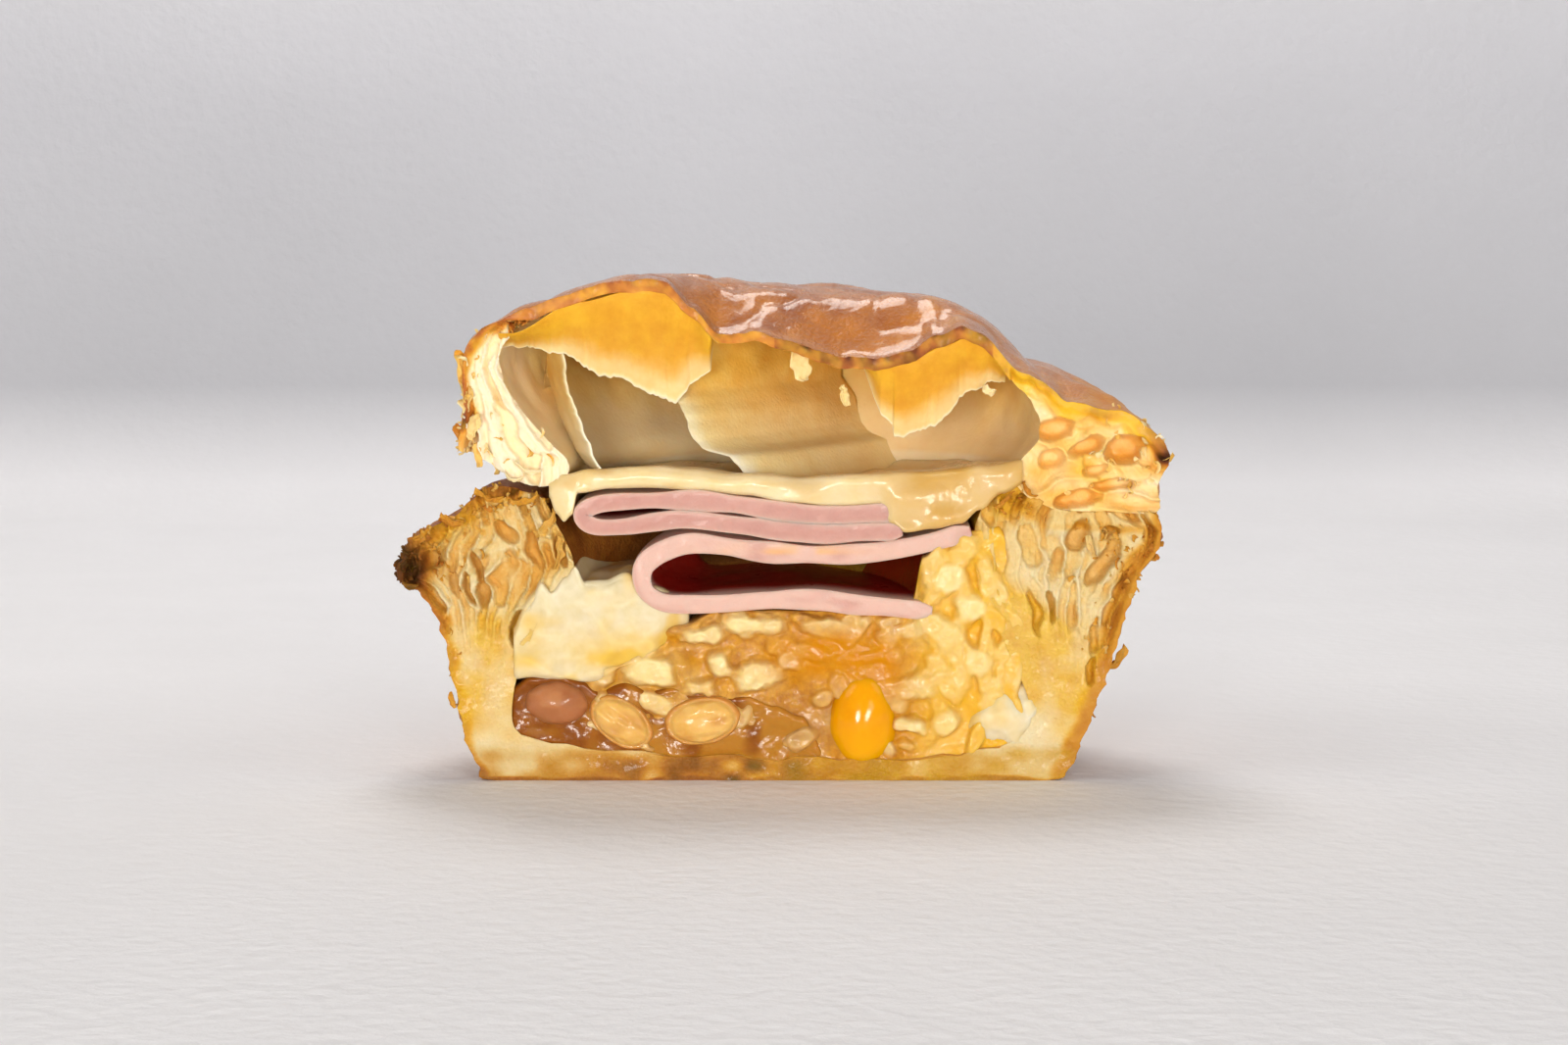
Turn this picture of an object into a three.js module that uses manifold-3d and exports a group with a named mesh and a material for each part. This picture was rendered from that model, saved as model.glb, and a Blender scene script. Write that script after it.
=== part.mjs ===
// Half of a puffed breakfast pie, cut open to show its filling. It stands on its flat base, and the
// knife cut faces -Y. The origin is the centre of the round pie's base, and the knife passed just in
// front of it. A section of the pie is written as (r, z) on each side of the axis: a `right` outline
// for +X and a `left` one for -X, which blend into each other round the back.
import * as THREE from "three";
import { mergeVertices } from "three/addons/utils/BufferGeometryUtils.js";
import Module from "manifold-3d";

// ---- Driving dimensions, in millimetres ----
const CUT_Y = -4; // the knife cut, in front of the pie's axis
const GAP = 0.3; // left between pieces that touch
const HOLLOW_RADIUS = 37; // of the round space that the filling lies in
const FILLING_DEPTH = 38.5; // from the cut to the back of the filling
const LEAST_NARROWING = 0.66; // of the filling at its back, where the case trims its corners
const BIG = 400; // a block larger than the pie
const HAM_THICKNESS = 2.8;
const FOLDED_HAM_THICKNESS = 2.3;
const MEMBRANE_THICKNESS = 0.9; // of a skin of puffed pastry
const SAG_DEPTH = 9; // how far behind the cut the sagging front edge of the lid reaches

const TURN_STEPS = 44; // round the whole pie, before it is cut
const CASE_STEP = 23; // the longest along the case's outline
const LID_STEP = 7; // the longest along the lid's outline

// The case's outline: base, outer wall, rim, inner wall and floor.
const CASE_RIGHT = [
  [0, 0], [20, 0], [40.4, 0], [43.6, 1.6], [45.3, 5], [46.8, 9.5], [48.8, 14.4], [50.4, 19.6], [52.2, 25.6],
  [54, 31], [56.4, 34], [57.2, 37], [55.5, 39.3], [49, 39.4], [42, 39.8], [37.5, 42.5], [34.6, 44.6],
  [31.6, 42], [29.6, 37], [30, 31], [32.4, 25], [35, 18.5], [37.6, 12.5], [37.8, 7.6], [33.5, 4.8],
  [22, 3.2], [0, 3.2],
];
const CASE_LEFT = [
  [0, 0], [20, 0], [41.6, 0], [43.6, 2], [45.6, 6], [46.6, 10.8], [47.6, 15.5], [48.6, 21], [50.4, 25.6],
  [52.8, 28.6], [55.4, 30], [54.6, 33.8], [51.3, 37.1], [46.2, 39.4], [43, 42.6], [38.5, 43], [34.4, 41.8],
  [32.2, 38], [29.6, 32], [31.6, 28.2], [34.8, 24], [37, 18.5], [38.6, 13.4], [38.6, 8], [35, 6.2],
  [22, 4.4], [0, 3.2],
];
// The lid's outline: ceiling of the hollow, foot, underside, outer side and domed top.
const LID_RIGHT = [
  [0, 70.6], [10, 70.7], [20, 70.3], [28, 68.6], [34, 64.6], [37.4, 60], [38.8, 56.5], [39, 53], [38.4, 50],
  [36.4, 47.4], [35.2, 44.8], [37.6, 42], [42.2, 39.2], [49, 38.8], [56.4, 38.6], [56.6, 42.6], [56.8, 45.4],
  [58.2, 47.4], [57.4, 49.6], [54.5, 53], [50.5, 56.8], [46, 59.6], [42, 61], [39.2, 61.6], [37, 64],
  [33, 67.6], [27, 70.8], [20, 72.1], [10, 72.4], [0, 72.2],
];
const LID_LEFT = [
  [0, 70.6], [14, 72.4], [25, 71.4], [34, 68.8], [39.4, 65], [40.2, 61], [38, 56], [34, 51], [30.6, 47.6],
  [30.4, 45.4], [32.4, 43.8], [34.6, 43.6], [37.4, 44.2], [40, 45.6], [42.2, 47.2], [44.4, 48.4],
  [46.2, 49.2], [45.8, 51.6], [45.2, 55], [45.6, 58], [45.6, 61.6], [44.8, 64.4], [42.8, 66.4], [40, 68],
  [36, 70], [29, 72.2], [23, 73.4], [16.5, 74.2], [9, 73.2], [0, 72.2],
];
// How far the lid's cut edge has sagged below its dome: [x, drop].
const SAG = [
  [-60, 0], [-16, 0], [-12, 2.9], [-8, 6.3], [-3, 5.8], [2, 7], [10, 8.6], [16, 9], [20, 8.3], [24, 5.6],
  [28, 2.8], [31, 2.4], [35, 3.8], [39, 2.2], [43, 4.6], [47, 4], [53, 1.6], [58, 0], [70, 0],
];
// Where each filling lies on the cut: [x, z].
const CHEESE_TOP = [
  [-34, 43.6], [-31, 45.4], [-27, 46.2], [-20, 46.4], [-12, 46], [-4, 45.2], [4, 44.8], [12, 45.2],
  [20, 45.6], [27, 46.2], [31, 47.4], [35, 48.6],
];
const CHEESE_BOTTOM = [
  [-33.2, 42], [-32.2, 39.6], [-31, 38.4], [-29.8, 39.4], [-29, 42.6], [-24, 43.3], [-18, 43.4], [-11, 43.2],
  [-4, 42.6], [2, 41.6], [9, 41], [17.4, 41.2], [18.8, 37.8], [20.2, 36.9], [23.4, 37.4], [27.6, 38.6],
  [30.4, 41.2], [33.6, 44.2],
];
const FOLDED_HAM = [
  [18.4, 39.9], [9, 39.4], [1.5, 40], [-5, 41], [-13, 41.7], [-20, 41.7], [-26, 41.2], [-28.4, 39.6],
  [-26, 37.8], [-18, 38.3], [-13, 38.8], [-6, 38.1], [1.5, 37.2], [9, 36.8], [19, 37.1],
];
const HAM_LOOP = [
  [29, 37.2], [24, 35.6], [18, 34.4], [12, 33.8], [5.5, 33.7], [-1.5, 34.1], [-7.3, 35], [-12.5, 35.4],
  [-16.5, 34.2], [-19, 32.2], [-19.5, 30], [-18.4, 27.8], [-14.8, 26.3], [-7.3, 26.4], [-1.5, 26.8],
  [5.8, 26.9], [11.6, 26.4], [17, 25.8], [23.4, 25.3],
];
const EGG_WHITE_TOP = [
  [-37, 20], [-34.5, 25], [-31.5, 28.2], [-29, 30.6], [-26, 29.6], [-21, 30.4], [-13, 26.4],
];
const EGG_WHITE_BOTTOM = [
  [-37, 18], [-35, 18.4], [-33.4, 16.6], [-31.2, 16.4], [-28, 15.8], [-24.7, 15.6], [-20.3, 18.6],
  [-13, 21.4],
];
const HASH_TOP = [[-29, 15], [-24, 17], [-14, 23], [-8, 25], [22, 25], [25, 32], [28, 35.4], [33, 36.4]];
const SAUCE_TOP = [
  [-39, 13.6], [-30, 14.2], [-24, 14], [-14, 13.6], [-8, 12.6], [0, 11.4], [4, 9.4], [8, 3.4],
];
const UNDERSIDE = [[-40, 1], [40, 1]]; // inside the case's floor, which trims what lies on it

// Oval lumps: centre on the cut [x, z], half sizes [across, deep, high], and a tilt in degrees.
const BEANS = {
  bean_left: { at: [-32.1, 11.5], half: [4.8, 4, 3.3], tilt: -4, sunk: 2.2 },
  bean_middle: { at: [-22.6, 8.7], half: [5.4, 4, 3.4], tilt: -36, sunk: 2.4 },
  bean_right: { at: [-10.6, 8.9], half: [5.8, 4.2, 3.7], tilt: 9, sunk: 2.4 },
};
const YOLK = { at: [13.2, 8.6], half: [5.6, 8, 6.4], tilt: 0, sunk: 5.6, neck: 0.34 };
const EGG_CORNER = { at: [33.2, 8.2], half: [5.4, 12, 5.6], tilt: 24, sunk: 10 };
const BEAN_POCKET = [-34.2, 13, 5, 4.6, -10, 7]; // the hollow round the left bean, as the air cells
const HASH_CHUNKS = [
  [-18.2, 16.4, 4, 2.1, -4], [-22, 18.3, 5, 1.5, 15], [-11.3, 13.8, 2.7, 1.5, 0], [-11, 21.6, 3.4, 1.6, 8],
  [-3.6, 23.2, 5.4, 1.4, -3], [8.6, 22.7, 4.8, 1.6, -6], [24.8, 22.4, 4, 2, -38], [4.8, 19.2, 3.4, 1.5, -18],
  [-8, 17.8, 1.9, 2.2, 20], [-2.6, 15.8, 3.8, 2.4, 12], [2.2, 18, 2.2, 1.7, 0], [20.6, 13.8, 5, 2.3, 8],
  [30, 17.6, 2.8, 2.3, -20], [20.2, 8.2, 2.6, 1.3, -8], [25.6, 8.6, 2.4, 1.8, 30], [26, 30, 2.6, 2.2, 15],
  [28.6, 25.6, 2.4, 2.6, 0],
];
// Air cells in the thick right side of the lid, and between the sheets of its left side:
// [x, z, half width, half height, tilt, depth].
const LID_CELLS = [
  [-42.4, 59.5, 0.8, 3.6, 12, 6], [-42.6, 52.6, 0.9, 2.6, 34, 6], [-38.6, 50.2, 0.9, 3.6, 50, 7],
  [-35, 46.2, 0.7, 2.6, 66, 6], [-38.8, 47, 0.6, 2.4, 60, 4],
  [41, 51.8, 2.5, 1.7, 0, 6], [45.8, 49.6, 2.7, 1.2, 24, 5], [40.4, 47.4, 2, 1.5, 12, 5],
  [50.6, 49.2, 2.8, 2.1, 14, 6], [48, 46.6, 2.4, 0.8, 14, 4], [49.6, 43.8, 3.8, 0.9, 4, 5],
  [45, 41.9, 3.4, 1.0, 10, 6],
];
// Air slits between the layers of the case: [x, z, half width, half height, tilt, depth].
const CASE_SLITS = [
  [50.6, 31.6, 1.2, 3.6, -34, 5], [44.6, 36, 1, 2.2, -14, 4], [48.2, 36.4, 2, 0.9, 12, 4],
  [40.7, 36.6, 0.8, 1.6, 0, 3], [41, 26, 0.6, 2.6, 4, 4], [38.8, 23.4, 0.5, 4.6, 18, 3],
  [46.8, 22.4, 0.7, 2, -8, 4], [45.6, 17.6, 0.7, 1.8, -6, 4], [36.4, 34.4, 0.6, 2.8, 8, 3],
  [44.6, 29.6, 0.5, 2.6, 4, 3], [33.4, 33.4, 0.6, 2.4, 16, 3], [53, 36.4, 1.4, 0.6, -20, 3],
  [-51.4, 33.6, 1.6, 1.5, 20, 4], [-47.4, 31, 0.6, 2.8, 24, 4], [-42.6, 28.4, 0.8, 2.6, 24, 5],
  [-39.2, 30.2, 0.8, 2.2, 8, 4], [-48.4, 23.6, 0.6, 2.6, 16, 3], [-44.6, 24.2, 0.6, 1.6, 20, 3],
  [-37.6, 23.8, 0.7, 2.6, -20, 4], [-45, 36.4, 1.6, 0.7, -30, 3], [-39.6, 36.4, 1.8, 1.1, -36, 4],
  [-35, 34.6, 1, 2.6, 20, 4],
];
const FLAKE_RIDGES = { height: 0.45, pitch: 2.9 }; // the browned layers on the outside of the case
const DOME_BLISTERS = { height: 0.9, pitch: 11 };

// ---- Numbers and curves ----
const lerp = (a, b, t) => a + (b - a) * t;
const clamp01 = (t) => Math.min(1, Math.max(0, t));

// A smooth line through [x, z] points, as a function of x.
function lineThrough(points) {
  return (x) => {
    let i = 0;
    while (i < points.length - 2 && x > points[i + 1][0]) i += 1;
    const t = clamp01((x - points[i][0]) / (points[i + 1][0] - points[i][0]));
    return lerp(points[i][1], points[i + 1][1], t * t * (3 - 2 * t));
  };
}

// Smooth curves through two outlines of equal length, with equally many points: each stretch is
// divided until neither outline has a step longer than `longest`.
function outlinePair(right, left, longest) {
  const sides = [right, left].map((side) => side.map(([x, z]) => new THREE.Vector2(x, z)));
  const curves = sides.map((side) => new THREE.SplineCurve(side));
  const outlines = sides.map((side) => [side[0]]);
  for (let i = 1; i < right.length; i += 1) {
    const length = Math.max(...sides.map((side) => side[i].distanceTo(side[i - 1])));
    const parts = Math.ceil(length / longest);
    for (let j = 1; j <= parts; j += 1) {
      const t = (i - 1 + j / parts) / (right.length - 1);
      outlines.forEach((outline, side) => outline.push(curves[side].getPoint(t)));
    }
  }
  return outlines;
}

// Repeatable noise from -1 to 1, smooth over one unit of its coordinates.
function lattice(i, j, k) {
  const s = Math.sin(i * 127.1 + j * 311.7 + k * 74.7) * 43758.5453;
  return 2 * (s - Math.floor(s)) - 1;
}
function noise(x, y, z) {
  const [i, j, k] = [Math.floor(x), Math.floor(y), Math.floor(z)];
  const [u, v, w] = [x - i, y - j, z - k].map((t) => t * t * (3 - 2 * t));
  const edge = (dj, dk) => lerp(lattice(i, j + dj, k + dk), lattice(i + 1, j + dj, k + dk), u);
  return lerp(lerp(edge(0, 0), edge(1, 0), v), lerp(edge(0, 1), edge(1, 1), v), w);
}

// ---- Solids ----
const wasm = await Module();
wasm.setup();

function toSolid(geometry) {
  const bare = geometry.clone();
  bare.deleteAttribute("normal");
  bare.deleteAttribute("uv");
  const merged = mergeVertices(bare, 1e-3);
  const corners = merged.index.array;
  const kept = [];
  for (let i = 0; i < corners.length; i += 3) {
    const [a, b, c] = [corners[i], corners[i + 1], corners[i + 2]];
    if (a !== b && b !== c && c !== a) kept.push(a, b, c);
  }
  return new wasm.Manifold(
    new wasm.Mesh({
      numProp: 3,
      vertProperties: merged.attributes.position.array,
      triVerts: new Uint32Array(kept),
    }),
  );
}

function toGeometry(solid) {
  const mesh = solid.getMesh();
  const positions = new Float32Array(mesh.numVert * 3);
  for (let i = 0; i < mesh.numVert; i += 1) {
    positions.set(mesh.vertProperties.subarray(i * mesh.numProp, i * mesh.numProp + 3), i * 3);
  }
  const geometry = new THREE.BufferGeometry();
  geometry.setAttribute("position", new THREE.BufferAttribute(positions, 3));
  geometry.setIndex(new THREE.BufferAttribute(mesh.triVerts, 1));
  geometry.computeVertexNormals();
  return geometry;
}

// The largest of a solid's separate bodies.
function largestBody(solid) {
  return solid.decompose().reduce((best, body) => (body.volume() > best.volume() ? body : best));
}

// Everything in front of the knife cut.
function frontBlock() {
  const block = new THREE.BoxGeometry(BIG, BIG, BIG);
  block.translate(0, CUT_Y - BIG / 2, 0);
  return toSolid(block);
}

// Moves a geometry's vertices by a function of their place.
function reshape(geometry, place) {
  const position = geometry.getAttribute("position");
  const point = new THREE.Vector3();
  for (let i = 0; i < position.count; i += 1) {
    point.fromBufferAttribute(position, i);
    const moved = place(point);
    position.setXYZ(i, moved.x, moved.y, moved.z);
  }
  return geometry;
}

// A closed outline pushed outwards by `grow`. Its ends stay on the axis.
function grownOutline(points, grow) {
  return points.map((p, i) => {
    const before = points[Math.max(0, i - 1)];
    const after = points[Math.min(points.length - 1, i + 1)];
    const along = after.clone().sub(before).normalize();
    const out = new THREE.Vector2(along.y, -along.x).multiplyScalar(grow);
    return new THREE.Vector2(p.x < 1e-6 ? 0 : Math.max(0, p.x + out.x), p.y + out.y);
  });
}

// A turned solid whose outline is `right` on +X and `left` on -X, moved by `shape(place, r)`.
function turned(right, left, longest, grow, shape) {
  const outlines = outlinePair(right, left, longest).map((side) => grownOutline(side, grow));
  const geometry = new THREE.LatheGeometry(outlines[0], TURN_STEPS);
  const position = geometry.getAttribute("position");
  const rows = outlines[0].length;
  for (let i = 0; i < position.count; i += 1) {
    const along = i % rows;
    const angle = (Math.floor(i / rows) / TURN_STEPS) * 2 * Math.PI;
    const share = (1 - Math.cos(angle)) / 2;
    const r = lerp(outlines[0][along].x, outlines[1][along].x, share);
    const z = lerp(outlines[0][along].y, outlines[1][along].y, share);
    const moved = shape(new THREE.Vector3(r * Math.cos(angle), r * Math.sin(angle), z), r);
    position.setXYZ(i, moved.x, moved.y, moved.z);
  }
  return toSolid(geometry);
}

// A place in the filling: x and z as on the cut, and the depth behind it, at `back` of the way from
// the front face to the rear. The round pie narrows it, and `grow` pushes both ends out.
function inPie(x, z, front, back, grow) {
  const y = CUT_Y + lerp(front, FILLING_DEPTH, back);
  const narrowing = Math.sqrt(Math.max(0, 1 - (y / HOLLOW_RADIUS) ** 2));
  const push = back === 0 ? -grow : back === 1 ? grow : 0;
  return new THREE.Vector3(x * Math.max(LEAST_NARROWING, narrowing), y + push, z);
}

// How far a line's height moves when the line is pushed out by `grow`: more where it is steep.
function steepened(grow, line, x) {
  const slope = (line(x + 0.2) - line(x - 0.2)) / 0.4;
  return grow * Math.min(4, Math.hypot(1, slope));
}

// A layer of filling between two lines on the cut, running to the back of the pie.
function layer({ from, to, bottom, top, grow, steps, relief = () => 0, wave = () => 0 }) {
  const [bottomAt, topAt] = [lineThrough(bottom), lineThrough(top)];
  const box = new THREE.BoxGeometry(1, 1, 1, ...steps);
  return toSolid(
    reshape(box, (p) => {
      const x = lerp(from, to, p.x + 0.5);
      const back = p.y + 0.5;
      const up = p.z + 0.5;
      const z = lerp(bottomAt(x), topAt(x) + wave(x, back * FILLING_DEPTH), up);
      const place = inPie(x, z, relief(x, z), back, grow);
      place.z += lerp(-steepened(grow, bottomAt, x), steepened(grow, topAt, x), up);
      if (Math.abs(p.x) === 0.5) place.x += Math.sign(p.x) * grow;
      return place;
    }),
  );
}

// A slice laid along a line on the cut, running to the back of the pie.
function slice({ line, thickness, grow, edge }) {
  const curve = new THREE.SplineCurve(line.map(([x, z]) => new THREE.Vector2(x, z)));
  const box = new THREE.BoxGeometry(1, 1, 1, 33, 1, 2);
  return toSolid(
    reshape(box, (p) => {
      const t = p.x + 0.5;
      const middle = curve.getPointAt(t);
      const along = curve.getTangentAt(t);
      const end = Math.min(t, 1 - t) * curve.getLength();
      const rounding = Math.sqrt(clamp01(0.35 + end / thickness));
      const side = p.z * (thickness * rounding + 2 * grow);
      const past = t === 0 ? -grow : t === 1 ? grow : 0;
      const bulge = (1 - 4 * p.z * p.z) * 0.5;
      const x = middle.x - along.y * side + along.x * past;
      const z = middle.y + along.x * side + along.y * past;
      return inPie(x, z, edge(t) - bulge, p.y + 0.5, grow);
    }),
  );
}

// An oval lump at the cut. `neck` narrows its upper end, as a drop of yolk narrows.
function lump({ at, half, tilt, sunk, neck = 0 }, grow, segments = [16, 11]) {
  const geometry = new THREE.SphereGeometry(1, ...segments);
  const turn = THREE.MathUtils.degToRad(tilt);
  return toSolid(
    reshape(geometry, (p) => {
      const narrow = 1 - neck * clamp01(p.y * 0.5 + 0.5) ** 2;
      const across = p.x * (half[0] + grow) * narrow;
      const up = p.y * (half[2] + grow) * (p.y > 0 ? 1 + neck : 1);
      const x = at[0] + across * Math.cos(turn) - up * Math.sin(turn);
      const z = at[1] + across * Math.sin(turn) + up * Math.cos(turn);
      return new THREE.Vector3(x, CUT_Y + sunk - p.z * (half[1] + grow), z);
    }),
  );
}

// A thin oval pocket behind the cut: an air cell, or a slit between layers.
function pocket([x, z, across, high, tilt, depth], segments) {
  return lump({ at: [x, z], half: [across, depth, high], tilt, sunk: 0 }, 0, segments);
}

// ---- The pieces ----
const sagAt = lineThrough(SAG);

// The dome's blisters, and the sag of its cut edge.
function lidShape(p, r) {
  const sag = sagAt(p.x) * Math.exp(-(((p.y - CUT_Y) / SAG_DEPTH) ** 2));
  const raised = clamp01((p.z - 50) / 8);
  const s = DOME_BLISTERS.pitch;
  const blister = DOME_BLISTERS.height * noise(p.x / s, p.y / s, 3.1) * raised * clamp01(r / 6);
  const rough = 0.5 * noise(p.x / 3, p.y / 3, p.z / 2.4) * clamp01((r - 34) / 8);
  const out = r > 1e-6 ? 1 + rough / r : 1;
  return new THREE.Vector3(p.x * out, p.y * out, p.z - sag * raised + blister);
}

// The browned, layered outside of the case. The base stays flat.
function caseShape(p, r) {
  const outside = clamp01((r - 41) / 4) * clamp01(p.z / 3);
  const layers = FLAKE_RIDGES.height * noise(p.x / 9, p.y / 9, (p.z * 3) / FLAKE_RIDGES.pitch);
  const crumbs = 0.5 * noise(p.x / 2.4, p.y / 2.4, p.z / 2.4) * clamp01((p.z - 26) / 8);
  const out = r > 1e-6 ? 1 + (outside * (layers + crumbs)) / r : 1;
  return new THREE.Vector3(p.x * out, p.y * out, p.z);
}

const caseBody = (grow) => turned(CASE_RIGHT, CASE_LEFT, CASE_STEP, grow, caseShape);
const lidBody = (grow) => turned(LID_RIGHT, LID_LEFT, LID_STEP, grow, lidShape);

// A curved skin of pastry: `corner(u, v)` gives a place on it, and it is `thickness` thick along Y.
function membrane(corner, steps) {
  const box = new THREE.BoxGeometry(1, 1, 1, steps[0], steps[1], 1);
  return toSolid(
    reshape(box, (p) => {
      const place = corner(p.x + 0.5, p.y + 0.5);
      place.y += -p.z * MEMBRANE_THICKNESS;
      return place;
    }),
  );
}

// The lid's cut edge, just inside the crust.
const LID_EDGE = [
  [-40, 66], [-30, 70.6], [-22, 72.2], [-16, 73], [-11, 69.4], [-8, 65.8], [2, 64.6], [10, 62.9], [16, 62.3],
  [20, 62.9], [24, 64.4], [28.3, 66.2], [32.6, 63.8], [35.5, 61],
];
const lidEdgeAt = lineThrough(LID_EDGE);

// A torn flap that hangs from the lid's cut edge down to the line `hem`, leaning back as it falls.
function flap(hem, lean, steps) {
  const hemAt = lineThrough(hem);
  return membrane((u, v) => {
    const x = lerp(hem[0][0], hem[hem.length - 1][0], u);
    const fall = 1 - v;
    const ragged = 0.5 * noise(x * 0.9, 5.2, 1.4) * fall;
    return new THREE.Vector3(x, CUT_Y + 1 + lean * fall ** 1.4, lerp(lidEdgeAt(x), hemAt(x) + ragged, fall));
  }, steps);
}

// A web that stands across the hollow, from [x, z] at its top to [x, z] at its foot. It starts at
// `front` and runs `depth` back, and curves.
function web(top, foot, front, depth) {
  const box = new THREE.BoxGeometry(1, 1, 1, 1, 3, 3);
  return toSolid(
    reshape(box, (p) => {
      const fall = 0.5 - p.z;
      const back = p.y + 0.5;
      const bow = 1.4 * Math.sin(Math.PI * fall) - 5 * back * back;
      const x = lerp(top[0], foot[0], fall) + bow + p.x * MEMBRANE_THICKNESS;
      return new THREE.Vector3(x, front + back * depth, lerp(top[1], foot[1], fall));
    }),
  );
}

const LEFT_FLAP = [[-36, 63.6], [-27, 61], [-20, 57.6], [-14.5, 55.8], [-9.4, 62.8]];
const RIGHT_FLAP = [[11.6, 60], [15, 54.4], [18.4, 50.6], [25, 53.4], [29, 57.6], [34, 58]];

function pastryLid(block, caseGrown) {
  const skins = [
    flap(LEFT_FLAP, 6, [9, 4]),
    flap(RIGHT_FLAP, 5, [8, 3]),
    web([-31, 65], [-25, 48], CUT_Y + 0.6, 17),
    web([-13, 69], [-6, 48], CUT_Y + 9.6, 20),
  ];
  const cells = LID_CELLS.map((cell) => pocket(cell, [7, 4]));
  const whole = wasm.Manifold.union([lidBody(0), ...skins]);
  return largestBody(wasm.Manifold.difference([whole, block, caseGrown, ...cells]));
}

function pastryCase(block) {
  const slits = CASE_SLITS.map((slit) => pocket(slit, [7, 4]));
  const scrap = lump({ at: [50.5, 16.4], half: [3.2, 1.6, 1], tilt: 38, sunk: 7 }, 0, [8, 5]);
  return largestBody(wasm.Manifold.difference([caseBody(0).add(scrap), block, ...slits]));
}

function cheese(grow) {
  return layer({
    from: -33.2, to: 34.4, bottom: CHEESE_BOTTOM, top: CHEESE_TOP, grow,
    relief: (x, z) => 0.35 * noise(x / 4, 2, z / 3), steps: [30, 2, 1],
    wave: (x, depth) => 0.7 * noise(x / 9, depth / 9, 7) * clamp01(depth / 4),
  });
}

const foldedHam = (grow) =>
  slice({ line: FOLDED_HAM, thickness: FOLDED_HAM_THICKNESS, grow, edge: (t) => 0.25 * Math.sin(t * 23) });

const hamLoop = (grow) =>
  slice({ line: HAM_LOOP, thickness: HAM_THICKNESS, grow, edge: (t) => 0.3 * Math.sin(t * 17 + 1) });

const eggWhite = (grow) =>
  layer({
    from: -36.6, to: -13.4, bottom: EGG_WHITE_BOTTOM, top: EGG_WHITE_TOP, grow,
    relief: (x, z) => -0.4 + 0.9 * noise(x / 4, 6, z / 3), steps: [14, 3, 5],
    wave: (x, depth) => 0.8 * noise(x / 5, depth / 6, 11) * clamp01(depth / 3),
  });

const yolk = (grow) => lump(YOLK, grow, [14, 10]);
const bean = (name, grow) => lump(BEANS[name], grow, [12, 8]);
const eggCorner = (grow) => lump(EGG_CORNER, grow, [12, 8]);

function beanSauce(grow) {
  return layer({
    from: -39.4, to: 7.4, bottom: UNDERSIDE, top: SAUCE_TOP, grow,
    relief: (x, z) => 0.5 + 0.5 * noise(x / 3, 9, z / 3), steps: [12, 1, 2],
  });
}

// Potato, egg and onion in yolk: a core with the pieces that show at the cut fused on.
function hash() {
  const core = layer({
    from: -29, to: 39, bottom: UNDERSIDE, top: HASH_TOP, grow: 0,
    relief: (x, z) => 0.5 + 0.7 * noise(x / 2.6, 4, z / 2.2), steps: [18, 1, 6],
  });
  const chunks = HASH_CHUNKS.map(([x, z, across, high, tilt]) =>
    lump({ at: [x, z], half: [across, 3, high], tilt, sunk: 1.8 }, 0, [7, 4]),
  );
  return wasm.Manifold.union([core, ...chunks]);
}

const block = frontBlock();
const caseGrown = caseBody(GAP);
const lidGrown = lidBody(GAP);
const cutAway = (piece, ...others) => largestBody(wasm.Manifold.difference([piece, ...others]));

const hamGrown = [foldedHam(GAP), hamLoop(GAP)];
const beansGrown = Object.keys(BEANS).map((name) => bean(name, GAP));

const hashNeighbours = [eggWhite(GAP), beanSauce(GAP), yolk(GAP), eggCorner(GAP), ...beansGrown];
const pocketByBean = pocket(BEAN_POCKET, [9, 6]);
const solids = {
  pastry_case: pastryCase(block),
  pastry_lid: pastryLid(block, caseGrown),
  cheese: cutAway(cheese(0), caseGrown, lidGrown, ...hamGrown),
  ham_folded: cutAway(foldedHam(0), caseGrown, hamGrown[1]),
  ham_loop: cutAway(hamLoop(0), caseGrown),
  egg_white: cutAway(eggWhite(0), caseGrown, hamGrown[1], beansGrown[0]),
  egg_yolk: cutAway(yolk(0), caseGrown),
  egg_white_corner: cutAway(eggCorner(0), caseGrown),
  potato_hash: cutAway(hash(), caseGrown, hamGrown[1], ...hashNeighbours),
  bean_sauce: cutAway(beanSauce(0), caseGrown, eggWhite(GAP), pocketByBean, ...beansGrown),
};
for (const name of Object.keys(BEANS)) solids[name] = cutAway(bean(name, 0), caseGrown);

// ---- Colours ----
const COLOURS = {
  pastry_case: [0xd9a860, 0.62],
  pastry_lid: [0xc98a4e, 0.34],
  cheese: [0xefdca4, 0.36],
  ham_folded: [0xdcaaa4, 0.42],
  ham_loop: [0xe6c0ba, 0.42],
  egg_white: [0xeee2bd, 0.36],
  egg_yolk: [0xf2a406, 0.12],
  egg_white_corner: [0xefe3bf, 0.4],
  potato_hash: [0xdfa53a, 0.28],
  bean_sauce: [0xb46a2a, 0.2],
  bean_left: [0xb9784c, 0.24],
  bean_middle: [0xdcb163, 0.28],
  bean_right: [0xd9a653, 0.28],
};

const pie = new THREE.Group();
for (const [name, solid] of Object.entries(solids)) {
  const [color, roughness] = COLOURS[name];
  const material = new THREE.MeshStandardMaterial({ color, roughness, metalness: 0 });
  const mesh = new THREE.Mesh(toGeometry(solid), material);
  mesh.name = name;
  pie.add(mesh);
}

export default pie;
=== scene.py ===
import math

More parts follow.
